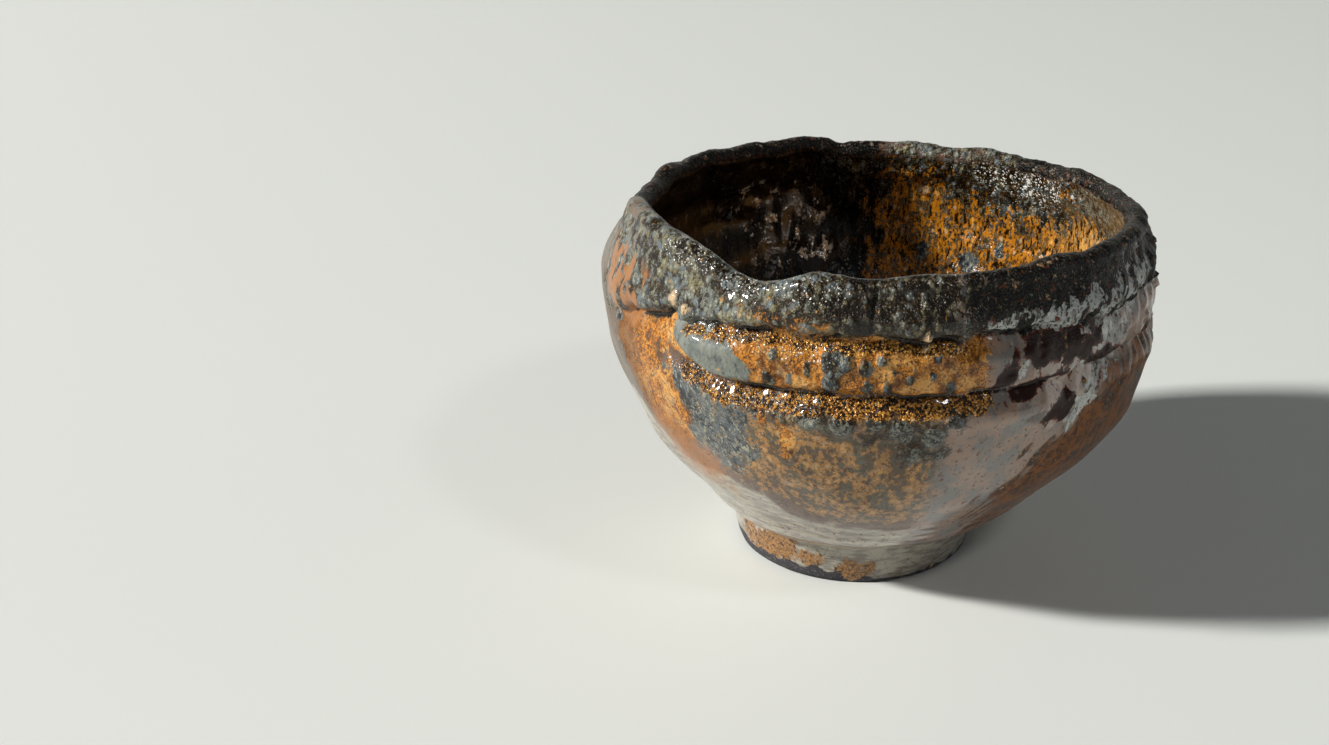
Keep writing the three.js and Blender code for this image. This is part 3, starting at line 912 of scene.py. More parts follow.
@dataclass
class TeaBowl:
    """The bowl's one fired piece: its mesh, fine relief and attributes."""

    form: HandForm = field(default_factory=HandForm)
    steps: int = 456
    crowding: float = 0.3
    front: float = 270.0
    lump_shares: tuple[float, ...] = (0.0, 1.0, 0.8, 0.6, 0.0)
    lip_outward: float = 0.6
    lip_upward: float = 0.7

    def spun(self, rows: Sequence[tuple[float, float, Side]]) -> bpy.types.Mesh:
        """Spins the section into a closed mesh whose vertices remember their row.

        Args:
            rows: Each row's radius, nominal height and side.

        Returns:
            The turned mesh, in millimetres, with an integer attribute "row".
        """
        bm = bmesh.new()
        row_layer = bm.verts.layers.int.new("row")
        previous = None
        for index, (radius, height, _side) in enumerate(rows):
            vert = bm.verts.new((radius, 0.0, height))
            vert[row_layer] = index
            if previous is not None:
                bm.edges.new((previous, vert))
            previous = vert
        bmesh.ops.spin(
            bm, geom=bm.verts[:] + bm.edges[:], cent=(0.0, 0.0, 0.0), axis=(0.0, 0.0, 1.0),
            dvec=(0.0, 0.0, 0.0), angle=math.tau, steps=self.steps, use_merge=True, use_duplicate=False,
        )
        poles = [v for v in bm.verts if v[row_layer] in (0, len(rows) - 1)]
        bmesh.ops.remove_doubles(bm, verts=poles, dist=1e-4)
        bmesh.ops.recalc_face_normals(bm, faces=bm.faces[:])
        mesh = bpy.data.meshes.new("bowl_glazed")
        bm.to_mesh(mesh)
        bm.free()
        return mesh

    def build(self) -> bpy.types.Object:
        """Forms the spun mesh by hand, adds the fine relief and lays out the finishes.

        Returns:
            The bowl's object, at the origin, in metres.
        """
        rows = self.form.section.rows()
        mesh = self.spun(rows)
        count = len(mesh.vertices)
        flat = np.empty(count * 3)
        mesh.vertices.foreach_get("co", flat)
        spun = flat.reshape(count, 3)
        row = np.empty(count, dtype=np.int32)
        mesh.attributes["row"].data.foreach_get("value", row)
        radius, nominal, side = (np.array(column)[row] for column in zip(*rows))
        turn = np.degrees(np.arctan2(spun[:, 1], spun[:, 0]))
        azimuth = turn - np.degrees(self.crowding * np.sin(np.radians(turn - self.front)))
        azimuth = np.mod(azimuth, 360.0)

        lifted = self.form.lifted(azimuth, nominal)
        reach = self.form.reach(radius, nominal, azimuth)
        reach = reach + np.array(self.lump_shares)[side] * self.form.lump(azimuth, nominal)
        rough = self.placed(reach, azimuth, nominal, lifted)
        chart = GlazeMap(self.form, azimuth, lifted, side, rough)
        masks = Glazer(chart).work_out()
        outside = side == Side.OUTSIDE
        centre = self.centre(reach, azimuth, nominal, lifted, outside)
        relief = self.form.relief(azimuth, lifted, chart.from_upper, chart.from_lower)
        reach = reach + np.where(outside, relief, 0.0)
        fine = FineRelief(chart, masks).outward()
        along = np.where(side == Side.LIP, self.lip_outward, 1.0)
        inward = np.where((side == Side.INSIDE) | (side == Side.WELL), -1.0, 1.0)
        moved = self.placed(reach + fine * along * inward, azimuth, nominal, lifted)
        lip_up = np.where(side == Side.LIP, fine * self.lip_upward, 0.0)
        well_up = np.where(side == Side.WELL, fine, 0.0)
        moved[:, 2] = moved[:, 2] + lip_up + well_up
        low, high = (np.array(corner) / MM for corner in CAD_BOX)
        moved = np.minimum(np.maximum(moved - centre, low), high)
        mesh.vertices.foreach_set("co", (moved * MM).ravel())
        for name, values in masks.items():
            layer = mesh.attributes.new(name, "FLOAT", "POINT")
            layer.data.foreach_set("value", values.astype(np.float32))
        mesh.attributes.remove(mesh.attributes["row"])
        mesh.polygons.foreach_set("use_smooth", [True] * len(mesh.polygons))
        mesh.update()
        piece = bpy.data.objects.new("bowl_glazed", mesh)
        bpy.context.collection.objects.link(piece)
        return piece

    def placed(self, reach: Array, azimuth: Array, nominal: Array, lifted: Array) -> Array:
        """Returns positions from radii, azimuths and heights, with the foot's offset."""
        foot = self.form.foot_share(nominal)
        x = reach * np.cos(np.radians(azimuth)) + self.form.foot_offset[0] * foot
        y = reach * np.sin(np.radians(azimuth)) + self.form.foot_offset[1] * foot
        return np.stack([x, y, lifted], axis=1)

    def centre(
        self, reach: Array, azimuth: Array, nominal: Array, lifted: Array, outside: Array,
    ) -> Array:
        """Returns the middle of the plain form's box, which the frame's origin lies under."""
        from_upper = lifted - self.form.upper_height(azimuth)
        from_lower = lifted - self.form.lower_height(azimuth)
        relief = np.where(outside, self.form.relief(azimuth, lifted, from_upper, from_lower), 0.0)
        plain = self.placed(reach + relief, azimuth, nominal, lifted)
        middle = (plain.min(axis=0) + plain.max(axis=0)) / 2
        return np.array([middle[0], middle[1], 0.0])


@dataclass
class FineRelief:
    """Relief too fine for the solid: granules, blobs, cracks, pits and throwing lines."""

    chart: GlazeMap
    masks: dict[str, Array]
    blob_lift: float = 1.3
    well_calm: float = 0.25

    def outward(self) -> Array:
        """Returns how far each point moves off the surface, in millimetres."""
        move = self.crust() + self.smooth_glaze()
        calm = np.where(self.chart.side == Side.WELL, self.well_calm, 1.0)
        return move + self.interior() * calm

    def crust(self) -> Array:
        """Returns the ash granules, grit, blobs, nubs, burrs and cracks."""
        c, m = self.chart, self.masks
        outside = c.side == Side.OUTSIDE
        coarse = granules(c.points, 2.4, 1.5, 5.0) - 0.5
        small = granules(c.points, 1.35, 1.4, 23.0) - 0.5
        crusty = np.clip(m["ash"] + 0.6 * m["olive"] + 0.3 * m["slate"] + 0.3 * m["blob"], 0.0, 1.0)
        move = crusty * (0.3 * coarse + 0.2 * small + c.uneven(mid=0.2))
        move = move + m["gold"] * (0.1 * small + c.uneven(fine=0.12))
        move = move + m["rust"] * c.uneven(mid=0.12, fine=0.08)
        warp = c.uneven(mid=0.6, fine=0.4)
        for blob in BLOBS + NUBS + BURRS + (RUST_NUB,):
            share = blob.share(c.azimuth, c.height, REACH, warp)
            move = move + self.blob_lift * blob.raised * share * outside
        move = move + 0.45 * m["tongue"] - 0.75 * m["crack_shade"]
        move = move + m["black"] * (0.16 * small + c.uneven(mid=0.22, fine=0.14))
        jagged = c.window(JAGGED) * span(c.height, 46.0, 79.0, 8.0, 4.0) * outside
        move = move - jagged * (0.3 + 0.3 * c.mid + 0.5 * np.clip(c.slant, -0.6, 0.6))
        return move + m["inner_rim"] * 0.2 * coarse

    def smooth_glaze(self) -> Array:
        """Returns the ripples, pits and throwing lines of the smooth glaze."""
        c, m = self.chart, self.masks
        glazed = np.clip(m["mauve_and_reflection"] + m["umber"] + m["pale"] + m["flow"], 0.0, 1.0)
        pits = smooth((c.fine - 0.45) / 0.2) * np.clip(m["painted_sheen"] + m["wine"], 0.0, 1.0)
        lines = np.sin(c.height * 2.6 + 0.5 * c.slow) * bell(c.height - 18.5, 4.5)
        move = glazed * c.uneven(slow=0.12, mid=0.05) - 0.3 * pits
        move = move + 0.14 * lines * (c.side == Side.OUTSIDE)
        return move + m["foot"] * c.uneven(slow=0.1, mid=0.05) * (c.height > 0.3)

    def interior(self) -> Array:
        """Returns the inside's ripples, its ledge under the rim and its stones."""
        c, m = self.chart, self.masks
        ring = 0.18 * np.sin(c.height * 0.75 + 0.8 * c.slow) * smooth((c.height - 16.0) / 10.0)
        ledge = 0.5 * bell(c.height - 70.5 + 0.6 * c.slow, 0.7) * span(c.azimuth, 75.0, 102.0, 8.0, 8.0)
        move = c.uneven(slow=0.3, mid=0.2, streak=0.12) + ring - ledge
        return m["inner"] * (move - 0.3 * m["inner_stone"] - 0.4 * m["inner_nub"])


class Link:
    """An output socket, with arithmetic that adds Math nodes."""

    def __init__(self, sheet: "NodeSheet", socket: bpy.types.NodeSocket) -> None:
        """Keeps the sheet and the socket."""
        self.sheet = sheet
        self.socket = socket

    def __add__(self, other: "Value") -> "Link":
        """Returns the sum."""
        return self.sheet.math("ADD", self, other)

    def __sub__(self, other: "Value") -> "Link":
        """Returns the difference."""
        return self.sheet.math("SUBTRACT", self, other)

    def __mul__(self, other: "Value") -> "Link":
        """Returns the product."""
        return self.sheet.math("MULTIPLY", self, other)

    def __rsub__(self, other: "Value") -> "Link":
        """Returns a number less this."""
        return self.sheet.math("SUBTRACT", other, self)

    __radd__ = __add__
    __rmul__ = __mul__

    def __abs__(self) -> "Link":
        """Returns the value without its sign."""
        return self.sheet.math("ABSOLUTE", self, 0.0)

    def clamped(self) -> "Link":
        """Returns the value held between 0 and 1."""
        return self.sheet.math("MINIMUM", self.sheet.math("MAXIMUM", self, 0.0), 1.0)

    def step(self, start: float, end: float) -> "Link":
        """Returns a smooth step from 0 at one value to 1 at another, which may be the lower."""
        rising = start < end
        out = self.sheet.node(
            "ShaderNodeMapRange", {"interpolation_type": "SMOOTHSTEP", "clamp": True},
            {"Value": self, "From Min": min(start, end), "From Max": max(start, end),
             "To Min": 0.0 if rising else 1.0, "To Max": 1.0 if rising else 0.0},
        )
        return out["Result"]


Value = Union[float, Link]
Paint = Union[Colour, Link]
Key = Union[str, int]


def total(links: Iterable[Link]) -> Link:
    """Returns the sum of links."""
    return reduce(add, links)


class NodeSheet:
    """A material's node tree, with one method that adds any node."""

    def __init__(self, name: str) -> None:
        """Makes the material with an empty tree."""
        self.material = bpy.data.materials.new(name)
        self.material.use_nodes = True
        self.tree = self.material.node_tree
        self.tree.nodes.clear()

    def node(self, kind: str, settings: dict[str, object], inputs: dict[Key, object]) -> dict[Key, Link]:
        """Adds a node.

        Args:
            kind: The node's type.
            settings: Its properties, set first.
            inputs: A value or a link for each input socket, by name or number.

        Returns:
            Its output sockets, by name and by number.
        """
        made = self.tree.nodes.new(kind)
        for name, value in settings.items():
            setattr(made, name, value)
        for name, value in inputs.items():
            if isinstance(value, Link):
                self.tree.links.new(value.socket, made.inputs[name])
            else:
                made.inputs[name].default_value = value
        outputs: dict[Key, Link] = {}
        for index, socket in enumerate(made.outputs):
            outputs[index] = Link(self, socket)
            if socket.enabled:
                outputs[socket.name] = outputs[index]
        return outputs

    def math(self, operation: str, first: Value, second: Value) -> Link:
        """Adds a Math node and returns its value."""
        return self.node("ShaderNodeMath", {"operation": operation}, {0: first, 1: second})[0]

    def attribute(self, name: str) -> Link:
        """Returns a vertex attribute's value."""
        return self.node("ShaderNodeAttribute", {"attribute_name": name}, {})["Fac"]

    def mix(self, first: Paint, second: Paint, factor: Value) -> Link:
        """Returns a mix of two colours."""
        colours = [(*c, 1.0) if isinstance(c, tuple) else c for c in (first, second)]
        settings = {"data_type": "RGBA", "blend_type": "MIX", "clamp_factor": True}
        return self.node("ShaderNodeMix", settings, {0: factor, 6: colours[0], 7: colours[1]})[2]

    def layers(self, ground: Paint, *coats: tuple[Paint, Value]) -> Link:
        """Lays colours over a ground, each by its share.

        Args:
            ground: The colour under them all.
            *coats: Each layer's colour and share, from the lowest to the highest.

        Returns:
            The colour on top.
        """
        for colour, share in coats:
            ground = self.mix(ground, colour, share)
        return ground

    def blend(self, first: Value, second: Value, factor: Value) -> Link:
        """Returns a mix of two numbers."""
        settings = {"data_type": "FLOAT", "clamp_factor": True}
        return self.node("ShaderNodeMix", settings, {0: factor, 2: first, 3: second})[0]

    def noise(self, place: Link, cell: float, detail: float = 3.0, rough: float = 0.55) -> Link:
        """Returns noise whose features are about a cell wide, in millimetres."""
        inputs = {"Vector": place, "Scale": 1.0 / (cell * MM), "Detail": detail, "Roughness": rough}
        return self.node("ShaderNodeTexNoise", {}, inputs)["Fac"]

    def stretched(self, place: Link, upright: float) -> Link:
        """Returns a place whose height is scaled, so that patterns run up and down or lie flat."""
        inputs = {"Vector": place, "Scale": (1.0, 1.0, upright)}
        return self.node("ShaderNodeMapping", {"vector_type": "POINT"}, inputs)["Vector"]

    def shaken(self, place: Link, cell: float, amount: float) -> Link:
        """Returns a place moved about by noise, so that cells are irregular. Sizes in millimetres."""
        inputs = {"Vector": place, "Scale": 1.0 / (cell * MM), "Detail": 1.0}
        push = self.node("ShaderNodeTexNoise", {}, inputs)["Color"]
        moved = {0: push, 1: (amount * MM,) * 3, 2: place}
        return self.node("ShaderNodeVectorMath", {"operation": "MULTIPLY_ADD"}, moved)["Vector"]

    def cells(self, place: Link, cell: float) -> dict[Key, Link]:
        """Returns a Voronoi node's outputs, with cells of a width in millimetres."""
        inputs = {"Vector": place, "Scale": 1.0 / (cell * MM), "Randomness": 1.0}
        return self.node("ShaderNodeTexVoronoi", {}, inputs)


def paint(red: int, green: int, blue: int) -> Colour:
    """Returns a colour given as it looks on a screen, from 0 to 255, in linear light."""
    def linear(value: int) -> float:
        """Returns one channel in linear light."""
        share = value / 255.0
        return share / 12.92 if share <= 0.04045 else ((share + 0.055) / 1.055) ** 2.4
    return linear(red), linear(green), linear(blue)


@dataclass(frozen=True)
class GlazeColours:
    """The colours of the ash glaze and the clay."""

    body: Colour = paint(104, 82, 68)
    body_dark: Colour = paint(74, 54, 42)
    # Near-black, between grains and as the painted shade in the cracks.
    gap: Colour = paint(26, 19, 10)
    ash_brown: Colour = paint(62, 50, 28)
    ash_grey: Colour = paint(108, 111, 102)
    ash_blue: Colour = paint(96, 106, 110)
    ash_pale: Colour = paint(162, 161, 144)
    ash_olive: Colour = paint(124, 116, 82)
    slate_deep: Colour = paint(40, 47, 52)
    slate: Colour = paint(84, 91, 94)
    slate_pale: Colour = paint(124, 128, 118)
    rust: Colour = paint(196, 126, 44)
    rust_pale: Colour = paint(220, 166, 94)
    rust_deep: Colour = paint(112, 64, 18)
    # Darker rust laid on the left side, which faces the key light: painted shade.
    rust_painted_shade: Colour = paint(120, 74, 24)
    rust_line: Colour = paint(46, 24, 10)
    salmon: Colour = paint(164, 108, 58)
    gold: Colour = paint(196, 136, 50)
    gold_deep: Colour = paint(98, 58, 20)
    # Painted glints on the tops of the grit.
    gold_painted_glint: Colour = paint(236, 204, 148)
    wine: Colour = paint(34, 12, 6)
    wine_edge: Colour = paint(96, 40, 16)
    # Painted reflection: the pale grey of the sheen patches.
    painted_sheen: Colour = paint(208, 212, 208)
    black: Colour = paint(9, 8, 6)
    # Pinkish mauve of the glaze on the right, lifted by a painted reflection of the lit floor.
    mauve_and_reflection: Colour = paint(148, 122, 104)
    # Painted reflection: the paler mauve of that patch.
    painted_floor_reflection: Colour = paint(186, 168, 156)
    veil_grey: Colour = paint(116, 112, 108)
    umber: Colour = paint(126, 78, 34)
    umber_deep: Colour = paint(48, 32, 22)
    pale: Colour = paint(106, 84, 62)
    pale_grey: Colour = paint(84, 80, 70)
    # Pale beige of the low flow, partly the glaze's own satin and partly painted reflection of the floor.
    flow: Colour = paint(176, 166, 146)
    ochre: Colour = paint(158, 116, 66)
    ochre_pale: Colour = paint(196, 150, 94)
    mauve: Colour = paint(92, 76, 58)
    sage: Colour = paint(100, 102, 88)
    # White of the painted glints, also the tint of the mirror-like crinkled facets inside.
    glint_white: Colour = paint(244, 242, 234)
    cream: Colour = paint(206, 176, 136)
    clay: Colour = paint(64, 62, 66)
    clay_light: Colour = paint(98, 94, 92)
    foot: Colour = paint(164, 158, 144)
    tan: Colour = paint(160, 116, 68)
    # Near-black and dark brown of the inside: partly a darker glaze, partly painted shade where the key
    # light does not fall.
    inner: Colour = paint(8, 5, 4)
    inner_brown: Colour = paint(20, 10, 6)
    amber: Colour = paint(186, 118, 26)
    amber_pale: Colour = paint(236, 182, 104)
    amber_deep: Colour = paint(34, 22, 8)


@dataclass
class GlazeFinish:
    """The bowl's one material, from bare clay to ash crust."""

    colours: GlazeColours = field(default_factory=GlazeColours)
    plain_roughness: float = 0.34
    coat_roughness: float = 0.07
    plain_coat: float = 0.3
    refraction: float = 1.5
    edge_shine: float = 0.25
    bump: float = 0.5

    def build(self) -> bpy.types.Material:
        """Builds the material.

        Returns:
            The finished material.
        """
        self.sheet = NodeSheet("glazed_stoneware")
        self.textures()
        self.masks = {name: self.sheet.attribute(name) for name in FINISHES}
        colour = self.belly_colour()
        for laid in (self.right_colour, self.crust_colour, self.foot_colour, self.inside_colour):
            colour = laid(colour)
        inputs = {
            "Base Color": colour,
            "Roughness": self.roughness(),
            "Metallic": self.metallic(),
            "Coat Weight": self.coat(),
            "Normal": self.normal(),
            "Coat Roughness": self.coat_roughness,
            "Coat IOR": self.refraction,
            "IOR": self.refraction,
            "Specular IOR Level": self.edge_shine,
        }
        surface = self.sheet.node("ShaderNodeBsdfPrincipled", {}, inputs)
        self.sheet.node("ShaderNodeOutputMaterial", {}, {"Surface": surface["BSDF"]})
        return self.sheet.material

    def textures(self) -> None:
        """Adds the noises and cells that the finishes draw on."""
        sheet = self.sheet
        place = sheet.node("ShaderNodeTexCoord", {}, {})["Object"]
        hanging = sheet.stretched(place, 0.5)
        shaken = sheet.shaken(sheet.stretched(place, 0.75), 1.4, 0.9)
        self.speck = sheet.noise(place, 0.5, 2.0, 0.6)
        self.grain = sheet.noise(place, 1.1, 3.0, 0.6)
        self.cloud = sheet.noise(place, 5.5, 4.0, 0.6)
        self.drift = sheet.noise(hanging, 2.2, 4.0, 0.62)
        self.fleck = sheet.noise(hanging, 1.0, 2.5, 0.6)
        self.run = sheet.noise(sheet.stretched(place, 0.25), 1.3, 3.0, 0.6)
        self.wheel = sheet.noise(sheet.stretched(place, 4.0), 4.0, 3.0, 0.5)
        self.worm = abs(sheet.noise(place, 1.0, 2.5, 0.62) - 0.5)
        self.grains = sheet.cells(shaken, 1.6)
        self.fine_grains = sheet.cells(sheet.shaken(place, 0.9, 0.6), 0.55)
        self.chance = sheet.node("ShaderNodeSeparateColor", {}, {"Color": self.grains["Color"]})
        self.fine_chance = sheet.node("ShaderNodeSeparateColor", {}, {"Color": self.fine_grains["Color"]})
        self.top = self.grains["Distance"].step(0.62, 0.12)
        self.fine_top = self.fine_grains["Distance"].step(0.6, 0.1)

    def of(self, **weights: float) -> Link:
        """Returns a sum of textures, each by its weight."""
        return total(getattr(self, name) * weight for name, weight in weights.items())

    def shake(self, **weights: float) -> Link:
        """Returns a sum of noises about their middle, each by its weight."""
        return total((getattr(self, name) - 0.5) * weight for name, weight in weights.items())

    def ragged(self, name: str, edge: float = 0.16, rough: float = 1.0) -> Link:
        """Returns a finish's share with its edge broken up by the noises."""
        uneven = self.shake(drift=1.4, grain=1.2, speck=0.6)
        return (self.masks[name] + uneven * rough).step(0.5 - edge, 0.5 + edge)

    def painted_glitter(self, name: str, sparks: Link, shaken: float, start: float) -> Link:
        """Returns the share of painted white glints within a finish."""
        grown = self.masks[name] * sparks + self.shake(grain=shaken)
        return grown.step(start, 0.6) * self.masks[name]

    def ash_colour(self) -> Link:
        """Returns the crust's grains, grey and olive over dark brown, darkened towards the right by painted
        shade.
        """
        k, sheet = self.colours, self.sheet
        grey = sheet.layers(
            k.ash_grey,
            (k.ash_blue, self.chance["Red"].step(0.3, 0.7)),
            (k.ash_olive, self.chance["Green"].step(0.6, 0.85) * 0.8),
            # Painted shade on the ash towards the right.
            (k.ash_brown, self.masks["ash_painted_shade"] * 0.4),
        )
        pale = sheet.mix(grey, k.ash_pale, self.fine_chance["Red"].step(0.55, 0.8))
        level = self.of(top=0.5, fine_top=0.25) + self.shake(grain=1.2, cloud=1.4) + 0.16
        # Fewer pale grains where the painted shade lies.
        level = level - self.masks["ash_painted_shade"] * 0.2
        return sheet.layers(
            k.gap,
            (k.ash_brown, level.step(0.05, 0.25)),
            (grey, level.step(0.22, 0.42)),
            (pale, level.step(0.5, 0.75)),
        )

    def slate_colour(self) -> Link:
        """Returns the smooth grey-blue ash with ochre flecks."""
        k, sheet = self.colours, self.sheet
        return sheet.layers(
            k.slate_deep,
            (k.slate, self.of(grain=0.35, cloud=0.65).step(0.4, 0.52)),
            (k.slate_pale, self.of(run=0.5, grain=0.5).step(0.52, 0.62) * 0.8),
            (k.ash_olive, self.of(fleck=0.6, cloud=0.4).step(0.53, 0.58) * 0.7),
            (k.gap, self.of(drift=0.6, speck=0.4).step(0.51, 0.57) * 0.85),
            (k.ash_pale, self.of(fleck=0.6, speck=0.4).step(0.54, 0.59) * 0.75),
        )

    def rust_colour(self) -> Link:
        """Returns the rust orange with dark reticulated lines, darkened on the left side by painted shade.
        """
        k, m, sheet = self.colours, self.masks, self.sheet
        colour = sheet.layers(
            k.rust,
            (k.rust_deep, self.drift.step(0.47, 0.62)),
            (k.rust_pale, self.of(cloud=0.6, grain=0.4).step(0.48, 0.58) * 0.8),
            # Painted shade: rust darkened on the left side, which faces the key light.
            (k.rust_painted_shade, m["pale"] * 0.9),
        )
        lines = self.worm.step(0.06, 0.015) * (self.cloud + self.shake(drift=0.6)).step(0.62, 0.48)
        colour = sheet.mix(colour, k.rust_line, lines * 0.8)
        spots = self.of(speck=0.5, grain=0.5).step(0.53, 0.62)
        return sheet.mix(colour, k.rust_line, spots * 0.75)

    def gold_colour(self) -> Link:
        """Returns the fine gold grit with dark gaps and painted glints on its tops."""
        k, sheet = self.colours, self.sheet
        level = self.fine_top * 0.6 + self.shake(speck=1.4, grain=1.6) + self.fine_chance["Blue"] * 0.25
        return sheet.layers(
            k.gap,
            (k.gold_deep, level.step(0.05, 0.25)),
            (k.gold, level.step(0.2, 0.44)),
            # Painted glints.
            (k.gold_painted_glint, level.step(0.6, 0.85)),
        )

    def mottle_colour(self) -> Link:
        """Returns the ochre blotches on mauve brown."""
        k, sheet = self.colours, self.sheet
        colour = sheet.layers(
            k.mauve,
            (k.sage, self.of(cloud=0.5, grain=0.5).step(0.46, 0.56) * 0.8),
            (k.body_dark, self.of(grain=0.5, speck=0.5).step(0.51, 0.58) * 0.6),
        )
        level = self.of(top=0.08, grain=0.3, drift=0.7)
        return sheet.layers(
            colour,
            (k.ochre, level.step(0.48, 0.55)),
            (k.ochre_pale, level.step(0.56, 0.63) * 0.8),
            (k.ash_brown, self.of(fleck=0.5, speck=0.5).step(0.54, 0.6) * 0.7),
        )

    def belly_colour(self) -> Link:
        """Returns the outside's ground with its mottled, pale and slate parts and the streaky low flow,
        which is partly painted reflection of the floor.
        """
        k, sheet = self.colours, self.sheet
        colour = sheet.layers(
            k.body,
            (k.body_dark, self.drift.step(0.4, 0.62)),
            (self.mottle_colour(), self.ragged("mottle", 0.3, 0.8)),
        )
        pale = sheet.layers(
            k.pale,
            (k.pale_grey, self.drift.step(0.44, 0.6)),
            (k.body, self.worm.step(0.03, 0.0) * 0.35),
        )
        colour = sheet.mix(colour, pale, self.ragged("pale", 0.35, 0.6) * 0.9)
        # The low flow, partly painted reflection of the lit floor.
        flow = sheet.layers(
            k.flow,
            (k.veil_grey, self.wheel.step(0.42, 0.6) * 0.7),
            (k.body, self.wheel.step(0.56, 0.66) * 0.25),
        )
        return sheet.layers(
            colour,
            (flow, self.ragged("flow", 0.4, 0.5) * 0.85),
            (self.slate_colour(), self.ragged("slate", 0.2, 1.3)),
        )

    def right_colour(self, colour: Link) -> Link:
        """Returns the colour with the mauve glaze and its painted reflections, the umber, the black, the
        painted sheen and the dark red patches.
        """
        k, m, sheet = self.colours, self.masks, self.sheet
        # The mauve glaze, partly its own colour and partly painted reflection of the lit floor.
        mauve_and_reflection = sheet.layers(
            k.mauve_and_reflection,
            (k.veil_grey, self.cloud.step(0.42, 0.58)),
            (k.body, self.grain.step(0.54, 0.68) * 0.4),
            # Painted reflection: the paler patch of the lit floor's reflection.
            (k.painted_floor_reflection, self.ragged("painted_floor_reflection", 0.4, 1.0) * 0.8),
        )
        umber = sheet.mix(k.umber, k.umber_deep, self.of(drift=0.6, grain=0.4).step(0.45, 0.56))
        specks = self.fine_chance["Green"].step(0.72, 0.8) * self.fine_grains["Distance"].step(0.5, 0.2)
        black = sheet.layers(
            k.black,
            (k.ash_brown, self.fleck.step(0.58, 0.68) * 0.7),
            (k.ash_olive, specks * 0.35),
        )
        # Painted reflection: the sheen patches, pale grey with dark specks.
        painted_sheen = sheet.layers(
            k.painted_sheen,
            (k.veil_grey, self.cloud.step(0.46, 0.62) * 0.8),
            (k.black, self.of(drift=0.5, fleck=0.5).step(0.53, 0.58) * 0.85),
        )
        lit = 0.6 + 0.4 * self.cloud.step(0.42, 0.56)
        wine = sheet.mix(k.wine_edge, k.wine, self.ragged("wine", 0.2, 0.6))
        return sheet.layers(
            colour,
            (mauve_and_reflection, self.ragged("mauve_and_reflection", 0.3, 0.8)),
            (umber, self.ragged("umber", 0.25, 1.2)),
            (black, self.ragged("black", 0.15, 1.4)),
            (painted_sheen, self.ragged("painted_sheen", 0.14, 1.9) * lit),
            (wine, (m["wine"] + self.shake(grain=1.8, fleck=1.4)).step(0.2, 0.42)),
        )

    def crust_colour(self, colour: Link) -> Link:
        """Returns the colour with the rust, ash, blobs, grit and nubs, the painted shade in the cracks and
        the painted white glints.
        """
        k, m, sheet = self.colours, self.masks, self.sheet
        ash, slate, rust = self.ash_colour(), self.slate_colour(), self.rust_colour()
        colour = sheet.layers(
            colour,
            (rust, self.ragged("rust", 0.16, 1.0)),
            (k.salmon, self.ragged("salmon", 0.4, 1.0) * 0.8),
            (k.rust_line, self.ragged("olive", 0.3, 1.2) * self.fleck.step(0.42, 0.54) * 0.6),
            (ash, self.ragged("olive", 0.25, 1.8) * 0.75),
            (ash, self.ragged("ash", 0.14, 1.1)),
        )
        lump = sheet.layers(
            slate,
            (ash, (self.drift + m["olive"] * 0.1).step(0.42, 0.54)),
            (k.slate_pale, self.of(grain=0.5, speck=0.5).step(0.46, 0.56) * m["olive"] * 0.8),
        )
        colour = sheet.layers(
            colour,
            (k.rust_line, self.ragged("blob", 0.4, 1.2) * 0.85),
            (lump, (m["blob"] + self.shake(grain=1.6)).step(0.4, 0.75)),
        )
        tongue = sheet.layers(
            k.slate_pale,
            (k.slate, self.of(run=0.5, fleck=0.5).step(0.4, 0.62) * 0.6),
            (k.slate_deep, self.of(fleck=0.5, speck=0.5).step(0.56, 0.62) * 0.7),
        )
        colour = sheet.layers(
            colour,
            (tongue, self.ragged("tongue", 0.15, 0.6)),
            (self.gold_colour(), self.ragged("gold", 0.2, 1.2)),
            (k.cream, m["nub"]),
        )
        # Painted shade in the cracks.
        gap = (m["crack_shade"] + self.shake(speck=1.2, grain=1.0)).step(0.35, 0.7)
        sparks = self.fine_chance["Green"].step(0.5, 0.6) * self.fine_grains["Distance"].step(0.5, 0.25)
        return sheet.layers(
            colour,
            (k.gap, gap * 0.95),
            # Painted white glints.
            (k.glint_white, self.painted_glitter("glint_white", sparks, 0.6, 0.35)),
        )

    def foot_colour(self, colour: Link) -> Link:
        """Returns the colour with the foot's satin glaze, tan grit, clay and stones."""
        k, m, sheet = self.colours, self.masks, self.sheet
        foot = sheet.layers(
            k.foot,
            (k.veil_grey, self.wheel.step(0.42, 0.56) * 0.6),
            (k.body, self.wheel.step(0.54, 0.62) * 0.35),
            (k.body_dark, self.of(grain=0.5, speck=0.5).step(0.54, 0.62) * 0.35),
        )
        dark = (self.worm.step(0.05, 0.0) + self.grain.step(0.54, 0.62)).clamped()
        tan = sheet.mix(k.tan, k.body_dark, dark)
        clay = sheet.mix(k.clay, k.clay_light, self.of(speck=0.6, grain=0.4).step(0.52, 0.62))
        foot = sheet.layers(
            foot,
            (tan, self.ragged("tan", 0.25, 1.3)),
            (clay, self.ragged("clay", 0.1, 0.4)),
            (k.cream, m["stone"]),
        )
        return sheet.mix(colour, foot, m["foot"])

    def inside_colour(self, colour: Link) -> Link:
        """Returns the colour with the inside's near-black ground, partly painted shade, its amber runs,
        grey ash and painted glints.
        """
        k, m, sheet = self.colours, self.masks, self.sheet
